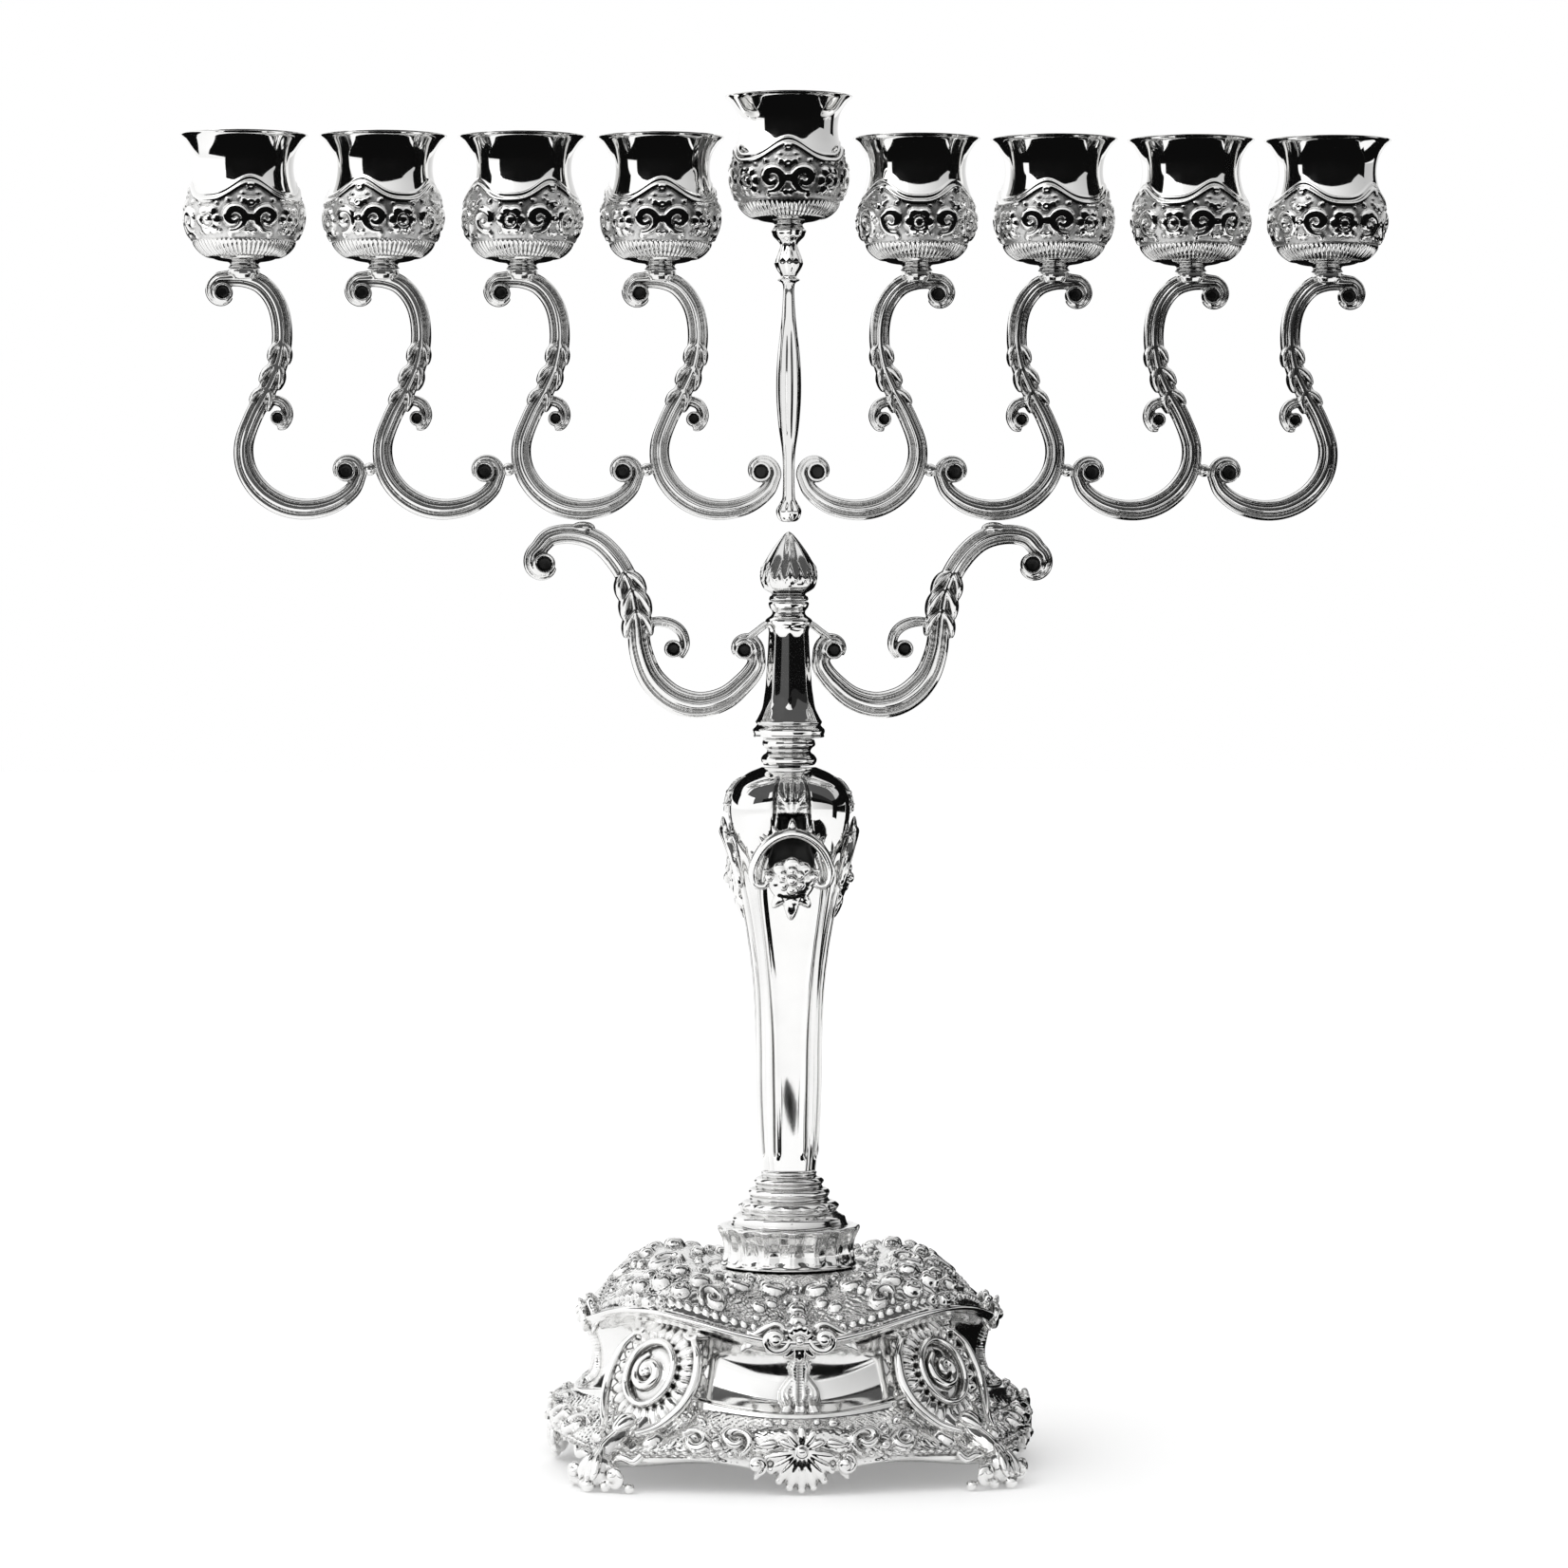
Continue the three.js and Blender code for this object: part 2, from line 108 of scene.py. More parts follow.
def across_line(line):
    """Unit directions across a plane line, a quarter turn anticlockwise from its own."""
    along = unit(np.gradient(line, axis=0))
    return np.stack([-along[:, 1], along[:, 0]], axis=1)


def round_turn(count):
    return np.linspace(0, FULL, count, endpoint=False)


def around(radius, turn, height):
    """Points round the Z axis; radii, angles and heights are spread to one grid."""
    radius, turn, height = np.broadcast_arrays(radius, turn, height)
    return np.stack([radius * np.cos(turn), radius * np.sin(turn), height], axis=-1)


def rise_between(value, low, high):
    """Smooth step from 0 at low to 1 at high."""
    t = np.clip((value - low) / (high - low), 0, 1)
    return t * t * (3 - 2 * t)


def window(value, low, high, soft_low, soft_high):
    """1 between low and high, falling to 0 at them over the soft widths."""
    return np.clip((value - low) / soft_low, 0, 1) * np.clip((high - value) / soft_high, 0, 1)


def hill(value, middle, width):
    return np.exp(-(((value - middle) / width) ** 2))


def half_round(t):
    """A half circle's height at t, which runs from -1 to 1 across it."""
    return np.sqrt(np.clip(1 - t**2, 0, 1))


# ---------- meshes ----------
def grid_faces(rows, cols, close_rows):
    """Quads over a grid whose columns run round."""
    r = np.arange(rows if close_rows else rows - 1)
    r, c = np.meshgrid(r, np.arange(cols), indexing="ij")
    down, along = (r + 1) % rows, (c + 1) % cols
    quads = [r * cols + c, r * cols + along, down * cols + along, down * cols + c]
    return np.stack(quads, axis=-1).reshape(-1, 4)


def make_mesh(name, verts, faces):
    """A mesh from millimetre points, its doubled points merged and its faces turned outwards."""
    mesh = bpy.data.meshes.new(name)
    mesh.from_pydata((verts * MM).tolist(), [], faces)
    work = bmesh.new()
    work.from_mesh(mesh)
    bmesh.ops.remove_doubles(work, verts=work.verts, dist=1e-3 * MM)
    bmesh.ops.dissolve_degenerate(work, edges=work.edges, dist=1e-4 * MM)
    bmesh.ops.recalc_face_normals(work, faces=work.faces)
    work.to_mesh(mesh)
    work.free()
    mesh.shade_smooth()
    return mesh


class Shape:
    """Points and faces gathered from several closed surfaces."""

    def __init__(self):
        self.verts = np.zeros((0, 3))
        self.faces = []

    def add_rings(self, rings, loop=False):
        """A skin over rings of points: its ends are capped, or in a loop the last ring meets the first."""
        rows, cols = rings.shape[:2]
        faces = grid_faces(rows, cols, loop).tolist()
        if not loop:
            faces.append(list(range(cols))[::-1])
            faces.append([(rows - 1) * cols + i for i in range(cols)])
        base = len(self.verts)
        self.verts = np.vstack([self.verts, rings.reshape(-1, 3)])
        self.faces.extend([i + base for i in face] for face in faces)
        return self

    def mesh(self, name):
        return make_mesh(name, self.verts, self.faces)


def tilt_y(verts, angle):
    """Leans the top outwards (+X) for a positive angle."""
    c, s = math.cos(angle), math.sin(angle)
    return verts @ np.array([[c, 0, -s], [0, 1, 0], [s, 0, c]])


def fused(shape, name, voxel):
    """The shape's surfaces cast into one skin: a voxel remesh, then smoothed."""
    holder = bpy.data.objects.new(name + "_cast", shape.mesh(name + "_raw"))
    bpy.context.scene.collection.objects.link(holder)
    remesh = holder.modifiers.new("remesh", "REMESH")
    remesh.mode = "VOXEL"
    remesh.voxel_size = voxel * MM
    relax = holder.modifiers.new("relax", "SMOOTH")
    relax.factor = 0.5
    relax.iterations = 3
    depsgraph = bpy.context.evaluated_depsgraph_get()
    mesh = bpy.data.meshes.new_from_object(holder.evaluated_get(depsgraph))
    mesh.name = name
    mesh.shade_smooth()
    raw = holder.data
    bpy.data.objects.remove(holder)
    bpy.data.meshes.remove(raw)
    return mesh


def face_centres(mesh):
    """The middles of a mesh's faces in millimetres."""
    centres = np.empty(3 * len(mesh.polygons))
    mesh.polygons.foreach_get("center", centres)
    return centres.reshape(-1, 3) / MM


def finish_faces(mesh, first, second, chosen):
    """The first material all over the mesh, and the second on the chosen faces."""
    mesh.materials.append(first)
    mesh.materials.append(second)
    mesh.polygons.foreach_set("material_index", chosen.astype(np.int32))


def box_mm(node):
    """The lowest and highest corners of a CAD node's box, in millimetres."""
    return [np.array(corner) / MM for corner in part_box(node)]


def foot_of(node):
    """Where an upright node stands: the middle of its width, on the stem's plane, at its lowest height."""
    low, high = box_mm(node)
    return ((low[0] + high[0]) / 2, 0, low[2])


def piece(name, mesh, node, material, turn=0.0, place=(0, 0, 0)):
    """An object that stands for a CAD node: turned about its own Z axis, moved, and riding its body."""
    obj = bpy.data.objects.new(name, mesh)
    bpy.context.scene.collection.objects.link(obj)
    obj.rotation_euler = (0, 0, turn)
    obj.location = [v * MM for v in place]
    if not mesh.materials:
        mesh.materials.append(material)
    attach(obj, body_of[node])
    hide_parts(node)


# ---------- relief ----------
def stroke(a, b, line, width, height, lobes=0, vein=0.0):
    """Height at (a, b) of a rounded stroke along a line; lobes notch its edges like a leaf."""
    line = np.asarray(line, float)
    far = (a[..., None] - line[:, 0]) ** 2 + (b[..., None] - line[:, 1]) ** 2
    nearest = far.argmin(axis=-1)
    away = np.sqrt(np.take_along_axis(far, nearest[..., None], -1)[..., 0])
    t = nearest / (len(line) - 1)
    taper = np.sin(math.pi * (0.08 + 0.84 * t)) ** 0.55
    notch = 1 - 0.3 * np.abs(np.sin(math.pi * lobes * t)) if lobes else 1
    high = height * half_round(away / (width * taper * notch)) * (0.6 + 0.4 * taper)
    return high * (1 - vein * hill(away, 0, 0.22 * width))


def rosette(a, b, centre, radius, height, petals=6):
    """Height of a flower: rounded petals round a button with a sunk ring."""
    da, db = a - centre[0], b - centre[1]
    far = np.hypot(da, db) / radius
    ray = np.abs(np.cos(petals * np.arctan2(db, da) / 2))
    petal = half_round((far / (0.82 + 0.18 * ray)) ** 2) * (0.62 + 0.38 * ray**0.5)
    button = 1.15 * half_round(far / 0.3)
    return height * np.maximum(petal * (1 - 0.75 * hill(far, 0.36, 0.07)), button)


def beads(along, across, pitch, radius):
    """Height of a row of round beads along a line, at a distance across from it."""
    away = np.hypot(np.mod(along, pitch) - pitch / 2, across)
    return np.sqrt(np.clip(radius**2 - away**2, 0, None))


def highest(*layers):
    return np.maximum.reduce(layers)


def tiled(cell):
    """Eight copies of an eighth of a turn, alternately mirrored, from a middle plane."""
    return np.concatenate([cell, cell[:, ::-1]] * 4, axis=1)


def eighth(count):
    """Angles across an eighth of a turn, at the middles of its steps."""
    return (np.arange(count) + 0.5) * EIGHTH / count


def all_round(count):
    return (np.arange(8 * count) + 0.5) * EIGHTH / count


def normals_of(points):
    """Unit normals of a grid of points whose columns run round."""
    across = np.roll(points, -1, axis=1) - np.roll(points, 1, axis=1)
    return unit(np.cross(across, np.gradient(points, axis=0)))


# ---------- materials ----------
def feed(tree, socket, value):
    """Gives a socket a plain value, or links another node's output to it."""
    if isinstance(value, bpy.types.NodeSocket):
        tree.links.new(value, socket)
    else:
        socket.default_value = value


def multiply_add(tree, a, b, c):
    node = tree.nodes.new("ShaderNodeMath")
    node.operation = "MULTIPLY_ADD"
    for socket, value in zip(node.inputs, (a, b, c)):
        feed(tree, socket, value)
    return node.outputs[0]


def noise(tree, scale, detail=3.0, stretch=(1, 1, 1)):
    place = tree.nodes.new("ShaderNodeTexCoord")
    shape = tree.nodes.new("ShaderNodeMapping")
    shape.inputs["Scale"].default_value = stretch
    texture = tree.nodes.new("ShaderNodeTexNoise")
    texture.inputs["Scale"].default_value = scale
    texture.inputs["Detail"].default_value = detail
    tree.links.new(place.outputs["Object"], shape.inputs["Vector"])
    tree.links.new(shape.outputs["Vector"], texture.inputs["Vector"])
    return texture.outputs["Fac"]


def grey(value):
    return (value, value, value, 1)


def mix_colours(tree, factor, a, b, blend="MIX"):
    """Colour b over colour a."""
    mix = tree.nodes.new("ShaderNodeMix")
    mix.data_type = "RGBA"
    mix.blend_type = blend
    for name, value in (("Factor", factor), ("A", a), ("B", b)):
        feed(tree, mix.inputs[name], value)
    return mix.outputs["Result"]


def ramp(tree, value, low, high, first, last):
    """From the first colour where the value is low to the last where it is high."""
    node = tree.nodes.new("ShaderNodeMapRange")
    node.inputs["From Min"].default_value = low
    node.inputs["From Max"].default_value = high
    tree.links.new(value, node.inputs["Value"])
    return mix_colours(tree, node.outputs["Result"], first, last)


def patches(tree, scale, detail, first, last):
    """Soft patches between two colours."""
    return ramp(tree, noise(tree, scale, detail), 0.3, 0.7, first, last)


def new_material(name, metallic):
    material = bpy.data.materials.new(name)
    material.use_nodes = True
    tree = material.node_tree
    inputs = tree.nodes["Principled BSDF"].inputs
    inputs["Metallic"].default_value = metallic
    return material, tree, inputs


def bump(tree, inputs, height, distance, strength):
    node = tree.nodes.new("ShaderNodeBump")
    node.inputs["Strength"].default_value = strength
    node.inputs["Distance"].default_value = distance * MM
    tree.links.new(height, node.inputs["Height"])
    tree.links.new(node.outputs["Normal"], inputs["Normal"])


OPEN_FROM, OPEN_TO = 0.42, 0.9  # painted shade darkens the silver below the first openness; it is unshaded above the second
SHADE_HUE = (1.0, 0.98, 0.95)
UNSHADED_HUE = (1.0, 0.998, 0.99)
HOLLOW_ROUGHNESS = 0.25  # added in a fully closed hollow
WIPED = (1, 1, 0.08)  # the wear of the polish is stretched up the pieces


def silver(name, tint, rough, hollow_shade, reach, grain):
    """Polished plate: unshaded on the high parts; within reach of a hollow's walls it is duller, and painted
    shade makes it darker.
    """
    material, tree, inputs = new_material(name, 1.0)
    open_sky = tree.nodes.new("ShaderNodeAmbientOcclusion")
    open_sky.samples = 6
    open_sky.only_local = True
    open_sky.inputs["Distance"].default_value = reach * MM
    openness = open_sky.outputs["AO"]
    # painted shade: ambient occlusion darkens the colour where the silver is closed in by a hollow
    dark = (*(tint * (1 - hollow_shade) * k for k in SHADE_HUE), 1)
    unshaded = (*(tint * k for k in UNSHADED_HUE), 1)
    colour = ramp(tree, openness, OPEN_FROM, OPEN_TO, dark, unshaded)
    mottle = patches(tree, 60.0, 4.0, grey(0.92), grey(1.0))
    tree.links.new(mix_colours(tree, 1.0, colour, mottle, "MULTIPLY"), inputs["Base Color"])
    worn = multiply_add(tree, noise(tree, 900.0, 2.0, WIPED), rough * 0.9, rough * 0.4)
    closed = multiply_add(tree, openness, -1.0, 1.0)
    tree.links.new(multiply_add(tree, closed, HOLLOW_ROUGHNESS, worn), inputs["Roughness"])
    bump(tree, inputs, noise(tree, 260.0, 5.0), 0.1, grain)
    return material


def threaded_steel():
    """Machined steel, with fine turning marks in rings along its axis."""
    material, tree, inputs = new_material("threaded_steel", 1.0)
    place = tree.nodes.new("ShaderNodeTexCoord")
    rings = tree.nodes.new("ShaderNodeTexWave")
    rings.bands_direction = "Z"
    rings.inputs["Scale"].default_value = 450.0
    tree.links.new(place.outputs["Object"], rings.inputs["Vector"])
    marks = rings.outputs["Fac"]
    colour = ramp(tree, marks, 0.0, 1.0, (0.2, 0.2, 0.21, 1), (0.62, 0.62, 0.64, 1))
    tree.links.new(colour, inputs["Base Color"])
    bump(tree, inputs, marks, 0.3, 1.0)
    tree.links.new(patches(tree, 300.0, 3.0, grey(0.25), grey(0.45)), inputs["Roughness"])
    return material


# the fourth argument sets how dark each finish's painted shade in its hollows is
polished = silver("polished_silver", tint=0.93, rough=0.06, hollow_shade=0.88, reach=3.0, grain=0.04)
arm_silver = silver("arm_silver", tint=0.88, rough=0.12, hollow_shade=0.9, reach=2.8, grain=0.08)
chased = silver("chased_silver", tint=0.92, rough=0.12, hollow_shade=0.8, reach=2.4, grain=0.1)
cast = silver("cast_silver", tint=0.92, rough=0.12, hollow_shade=0.82, reach=2.2, grain=0.1)
matted = silver("matted_silver", tint=0.8, rough=0.42, hollow_shade=0.7, reach=1.2, grain=0.5)
oxidised = silver("oxidised_silver", tint=0.035, rough=0.45, hollow_shade=0.6, reach=2.0, grain=0.3)
steel = threaded_steel()


# ---------- cups ----------
CUP_OUTSIDE = [
    (5.0, 0.0), (4.5, 1.0), (5.2, 1.8), (9.4, 2.7), (13.6, 5.4), (16.8, 9.6), (18.4, 15.5),
    (17.9, 21.0), (16.1, 27.0), (15.5, 31.5), (16.2, 36.0), (18.4, 39.8), (20.0, 41.2),
]
CUP_RIM = [(20.1, 41.5), (19.7, 41.5)]
CUP_WALL = 0.8
CUP_FLOOR = 7.0
BAND_LOW = 3.0  # the chased band runs from here up to its festoon
BAND_RADIUS = 18.0  # turns angles round the band into millimetres
FESTOON_LOW, FESTOON_HIGH = 20.0, 25.2
GADROON_MIDDLE, GADROON_HALF = 5.6, 2.7  # height of the row of gadroons' middle, and half its height
GROUND = 0.3  # faces raised less than this are the band's matted ground


def festoon(angle):
    """Height of the band's upper edge; it rises in a rounded crest between two swags."""
    return FESTOON_LOW + (FESTOON_HIGH - FESTOON_LOW) * np.sin(2 * angle) ** 3


def cup_relief(angle, height):
    """Chased band: a rosette in each swag of the festoon, with scrolls and leaves between."""
    a = angle * BAND_RADIUS
    swag = festoon(angle)
    border = np.maximum(0.75 * hill(height, swag, 0.75), 0.35 * hill(height, swag + 1.9, 0.45))
    forms = highest(
        np.abs(np.cos(32 * angle)) ** 0.5 * half_round((height - GADROON_MIDDLE) / GADROON_HALF),
        rosette(a, height, (0, 13.8), 4.9, 1.3),
        stroke(a, height, spiral((8.9, 14.4), 4.2, 1.2, -0.3, 1.2), 1.7, 1.2),
        stroke(a, height, [(3.8, 10.2), (7.4, 9.4), (11.6, 10.6)], 1.6, 1.0, 3, 0.4),
        stroke(a, height, [(13.2, 10), (14.1, 14.5), (14.1, 19), (13.8, 24)], 2.3, 1.3, 4, 0.45),
        stroke(a, height, [(3.4, 18.8), (7.0, 19.8), (10.8, 20.6)], 1.3, 0.9, 3, 0.3),
        stroke(a, height, [(11.2, 16.6), (12.0, 19.6), (11.6, 22.0)], 1.2, 0.9, 2, 0.3),
    )
    grain = 0.1 * np.sin(6.3 * a + np.sin(2.1 * height)) * np.sin(5.9 * height)
    inside = window(height, BAND_LOW, swag, 0.8, 0.8)
    return border + inside * (forms * 0.85 + np.where(forms < 0.1, grain, 0))


def cup_mesh():
    cell, rows = 36, 190
    outside = smooth(CUP_OUTSIDE, rows)
    angle = np.repeat(eighth(cell)[None], rows, axis=0)
    lift = tiled(cup_relief(angle, np.repeat(outside[:, 1:], cell, axis=1)))
    out = -across_line(outside)
    turn = all_round(cell)
    skin = around(outside[:, :1] + lift * out[:, :1], turn, outside[:, 1:] + lift * out[:, 1:])
    wall = evenly(outside[outside[:, 1] > CUP_FLOOR + 2], 60)[::-1] - [CUP_WALL, 0]
    floor = smooth([wall[-1], (12.6, CUP_FLOOR + 0.6), (9.0, CUP_FLOOR), (0.01, CUP_FLOOR)], 14)
    inside = np.vstack([CUP_RIM, wall, floor[1:]])
    lining = around(inside[:, :1], turn, inside[:, 1:])
    mesh = Shape().add_rings(np.vstack([skin, lining])).mesh("cup")
    x, y, height = face_centres(mesh).T
    raised = np.abs(np.hypot(x, y) - np.interp(height, outside[:, 1], outside[:, 0]))
    angle = np.mod(np.arctan2(y, x), QUARTER)
    swag = festoon(np.minimum(angle, QUARTER - angle))
    in_band = (height > BAND_LOW + 1) & (height < swag - 0.8)
    finish_faces(mesh, polished, matted, in_band & (raised < GROUND))
    return mesh


def make_cups():
    shared = cup_mesh()
    cups = sorted(n for n in frame["nodes"] if n.startswith("cup_") and not n.startswith("cup_stud"))
    for i, node in enumerate(cups):
        stopped_at = QUARTER * (0.5 + 0.37 * i)  # each cup's screw stops at another angle
        piece(f"{node}_chased", shared, node, polished, stopped_at, foot_of(node))


# ---------- scroll arms ----------
def bar_section(count=44):
    """Unit section of an arm: a rounded rib between two grooves, on its front and on its back."""
    across, out = np.cos(round_turn(count)), np.sin(round_turn(count))
    groove = 1 - 0.5 * hill(np.abs(across), 0.5, 0.15)
    return np.stack([across * (0.9 + 0.1 * np.abs(across)), out * groove], axis=1)


SECTION = bar_section()
ROUND_SECTION = np.stack([np.cos(round_turn(14)), np.sin(round_turn(14))], axis=1)


def plane_bar(line, width, depth, section=SECTION):
    """Rings of a bar along a line in the XZ plane; width and depth hold half sizes by place."""
    across = across_line(line)
    side = section[None, :, 0] * width[:, None]
    x = line[:, None, 0] + side * across[:, None, 0]
    z = line[:, None, 1] + side * across[:, None, 1]
    y = section[None, :, 1] * depth[:, None]
    return np.stack([x, y, z], axis=-1)


def swell(count, end, middle, power=0.6):
    return end + (middle - end) * np.sin(math.pi * np.linspace(0, 1, count)) ** power


EYE_DISH = 0.74  # the dished, oxidised part of an eye's radius
EYE_FACE = [(0.01, 0.6), (0.5, 0.64), (EYE_DISH, 0.94), (0.88, 1.0), (1.0, 0.84)]
EYE = np.array([(share, -out) for share, out in EYE_FACE] + EYE_FACE[::-1])


def button(shape, centre, radius, depth):
    """The round eye of a volute, lying along Y: a dished face in a raised rim."""
    rings = around(EYE[:, :1] * radius, round_turn(28), EYE[:, 1:] * depth)
    shape.add_rings(rings[..., [0, 2, 1]] + [centre[0], 0, centre[1]])


def in_eyes(mesh, eyes):
    """Which faces are in the dish of a volute's eye."""
    x, _, z = face_centres(mesh).T
    far = [np.hypot(x - eye_x, z - eye_z) / radius for eye_x, eye_z, radius in eyes]
    return np.minimum.reduce(far) < EYE_DISH


LEAF_PAIRS = 3
LEAF_STEPS = 60


def leaf_lobes(shape, line, size, depth, reach):
    """Acanthus lobes along both edges of an arm, tips leaning down the line."""
    line = smooth(line, LEAF_STEPS)
    along, across = unit(np.gradient(line, axis=0)), across_line(line)
    for i in range(LEAF_PAIRS):
        share = (i + 0.5) / LEAF_PAIRS
        k = int((LEAF_STEPS - 1) * share)
        big = size * (0.75 + 0.25 * math.sin(math.pi * share))
        for side in (-1, 1):
            out = across[k] * side * reach
            root = line[k] - along[k] * big * 1.3
            bend = line[k] - along[k] * big * 0.3 + out * 0.75
            tip = line[k] + along[k] * big * 0.9 + out
            wide, deep = swell(14, 0.3, big * 0.42), swell(14, depth * 0.7, depth)
            shape.add_rings(plane_bar(smooth([root, bend, tip], 14), wide, deep, ROUND_SECTION))


def arm_shape(upper, line, lower, widths, depth, eyes, thorn, leaf):
    """A scroll arm: the ribbed bar, its three eyes, the thorn and the leaf wrapped round it.

    widths are half widths spaced evenly along the bar; eyes are (x, z, radius).
    """
    shape = Shape()
    full = evenly(np.vstack([upper[::-1], line, lower]), 300)
    wide = np.interp(np.linspace(0, len(widths) - 1, 300), range(len(widths)), widths)
    widest = max(widths)
    shape.add_rings(plane_bar(full, wide, depth * (0.62 + 0.38 * wide / widest)))
    for x, z, radius in eyes:
        button(shape, (x, z), radius, depth * 1.02)
    hook = smooth(thorn, 50)
    shape.add_rings(plane_bar(hook, swell(50, 0.9, 1.7), swell(50, depth * 0.6, depth * 0.85)))
    leaf_lobes(shape, leaf, widest * 1.05, depth * 1.08, widest * 0.95)
    return shape


ARM_SIDES = {"right": 0.0, "left": math.pi}
ROW_WIDTHS = [0.9, 1.9, 2.7, 3.1, 3.2, 3.2, 3.0, 2.9, 2.9, 3.1, 3.3, 3.4, 3.3, 3.0, 2.5, 1.8, 0.9]
ROW_HALF_DEPTH = 3.0
ROW_EYES = [(6.7, 368.8, 3.0), (-31.6, 312.7, 3.2), (-10.4, 329.4, 2.3)]
ROW_LINE = [
    (0, 373.2), (-6, 370.8), (-10.4, 364.4), (-11.8, 355.4), (-10.4, 346), (-6.8, 337.6), (-2.6, 329.6),
    (0.3, 321), (-0.6, 313), (-5.2, 306.2), (-12.2, 301.9), (-20, 300.8), (-27.8, 302.6), (-33.6, 306.8),
]
ROW_THORN = [(-4.6, 334.2), (-8.8, 335.0), (-12.2, 333.8), (-13.6, 330.4), (-12.4, 327.2), (-10.2, 326.6)]
ROW_LEAF = [(-11.8, 353), (-10.2, 345.6), (-7.2, 338.6), (-4, 332)]
ROW_VOXEL = 0.26
PAD_RADIUS = 4.9
LINK = (4.4, 0, 313.4)  # the bead that joins an arm to the next one's lower volute
CUPS_A_SIDE = 4


def row_arm_shape():
    """A row arm relative to its cup's axis, for the right-hand side."""
    upper = spiral(ROW_EYES[0][:2], 4.4, 2.7, 0.21, -0.62)
    lower = spiral(ROW_EYES[1][:2], 4.6, 2.8, 0.53, -0.6)
    line = smooth([upper[0], *ROW_LINE, lower[0]], 160)[1:-1]
    return arm_shape(upper, line, lower, ROW_WIDTHS, ROW_HALF_DEPTH, ROW_EYES, ROW_THORN, ROW_LEAF)


def pad(shape, radius, low, high):
    """The small round pad that a cup is seated on."""
    middle, edge = (low + high) / 2, radius * 0.8
    profile = np.array([(0.01, low), (edge, low), (radius, middle), (radius, high), (0.01, high)])
    shape.add_rings(around(profile[:, :1], round_turn(28), profile[:, 1:]))


def make_row_arms():
    seat = foot_of("cup_right_1")[2]
    shape = row_arm_shape()
    pad(shape, PAD_RADIUS, seat - 3.6, seat - 0.5)
    end_arm = fused(shape, "row_arm_end", ROW_VOXEL)
    ball(shape, LINK, [2.0, 2.3, 2.0])
    linked_arm = fused(shape, "row_arm_linked", ROW_VOXEL)
    for mesh in (end_arm, linked_arm):
        finish_faces(mesh, arm_silver, oxidised, in_eyes(mesh, ROW_EYES))
    for side, turn in ARM_SIDES.items():
        for n in range(1, CUPS_A_SIDE + 1):
            node = f"arm_{side}_{n}"
            mesh = end_arm if n == CUPS_A_SIDE else linked_arm
            piece(f"{node}_cast", mesh, node, arm_silver, turn, (foot_of(f"cup_{side}_{n}")[0], 0, 0))


LOWER_WIDTHS = [1.0, 2.2, 2.9, 3.1, 3.3, 3.4, 3.3, 3.3, 3.5, 3.9, 4.3, 4.4, 4.0, 3.5, 3.1, 2.4, 1.0]
LOWER_HALF_DEPTH = 3.4
LOWER_EYES = [(77.2, 283.6, 3.4), (14.2, 256.4, 2.9), (36.6, 256.8, 2.8)]
LOWER_LINE = [
    (75.2, 292.2), (68, 293.0), (60.4, 290.6), (54, 284), (49.8, 275.6), (48, 266), (46.8, 256),
    (43.4, 247.4), (36.8, 241.2), (28.6, 239), (20.6, 241), (14.6, 245.8), (10.6, 251),
]
LOWER_THORN = [(46.8, 263.6), (42.4, 265.4), (37.6, 264.8), (34, 262.2), (32.8, 258), (34.4, 254)]
LOWER_LEAF = [(51.4, 279.4), (49.2, 273), (48.2, 267), (47.6, 261)]
LOWER_ROOT = [(13.0, 260.2), (10.0, 262.4), (7.4, 264.4), (5.6, 264.8)]
LOWER_VOXEL = 0.28
ROW_JOINT = (65.0, 0, 295.0)  # the bead that joins a lower arm to the row


def make_lower_arms():
    upper = spiral(LOWER_EYES[0][:2], 5.0, 3.0, 0.18, -0.62)
    lower = spiral(LOWER_EYES[1][:2], 4.0, 2.6, 0.52, -0.6)
    line = smooth([upper[0], *LOWER_LINE, lower[0]], 160)[1:-1]
    shape = arm_shape(upper, line, lower, LOWER_WIDTHS, LOWER_HALF_DEPTH, LOWER_EYES, LOWER_THORN, LOWER_LEAF)
    shape.add_rings(plane_bar(smooth(LOWER_ROOT, 30), np.full(30, 1.1), np.full(30, 2.6)))
    ball(shape, ROW_JOINT, [3.8, 2.6, 2.0])
    shared = fused(shape, "lower_arm", LOWER_VOXEL)
    finish_faces(shared, arm_silver, oxidised, in_eyes(shared, LOWER_EYES))
    for side, turn in ARM_SIDES.items():
        node = f"lower_arm_{side}"
        piece(f"{node}_cast", shared, node, arm_silver, turn)


# ---------- turned pieces ----------
# Knots are radii and heights above the foot of the piece's CAD node, and TOP is that node's height.
TOP = None
BUD = [
    (0.01, 0), (5.6, 0), (6.0, 1.2), (5.2, 2.2), (7.9, 4.2), (8.6, 7.4), (7.5, 11.6), (4.8, 16.4),
    (1.7, 20.6), (0.01, TOP),
]
BLOCK = [
    (0.01, 0), (10.2, 0), (11.2, 1.2), (11.4, 2.6), (10.2, 4.0), (10.6, 5.0), (9.8, 6.4), (8.2, 10),
    (7.2, 15), (6.8, 20), (6.2, 30), (6.2, 34), (7.3, 36), (7.3, 37.4), (5.6, 38.8), (5.2, 40),
    (6.2, 41.6), (5.8, TOP), (0.01, TOP),
]
SPINDLE = [
    (0.01, 0), (2.6, 0.5), (3.8, 3.4), (2.6, 6.2), (1.9, 9), (1.9, 20), (3.0, 30), (3.7, 40), (3.5, 50),
    (2.4, 62), (1.8, 71), (1.9, 75), (3.3, 76.4), (2.4, 77.6), (4.0, 80.6), (4.3, 82.4), (3.0, 86),
    (2.8, 88), (4.6, 90.0), (5.0, 91), (5.0, TOP), (0.01, TOP),
]
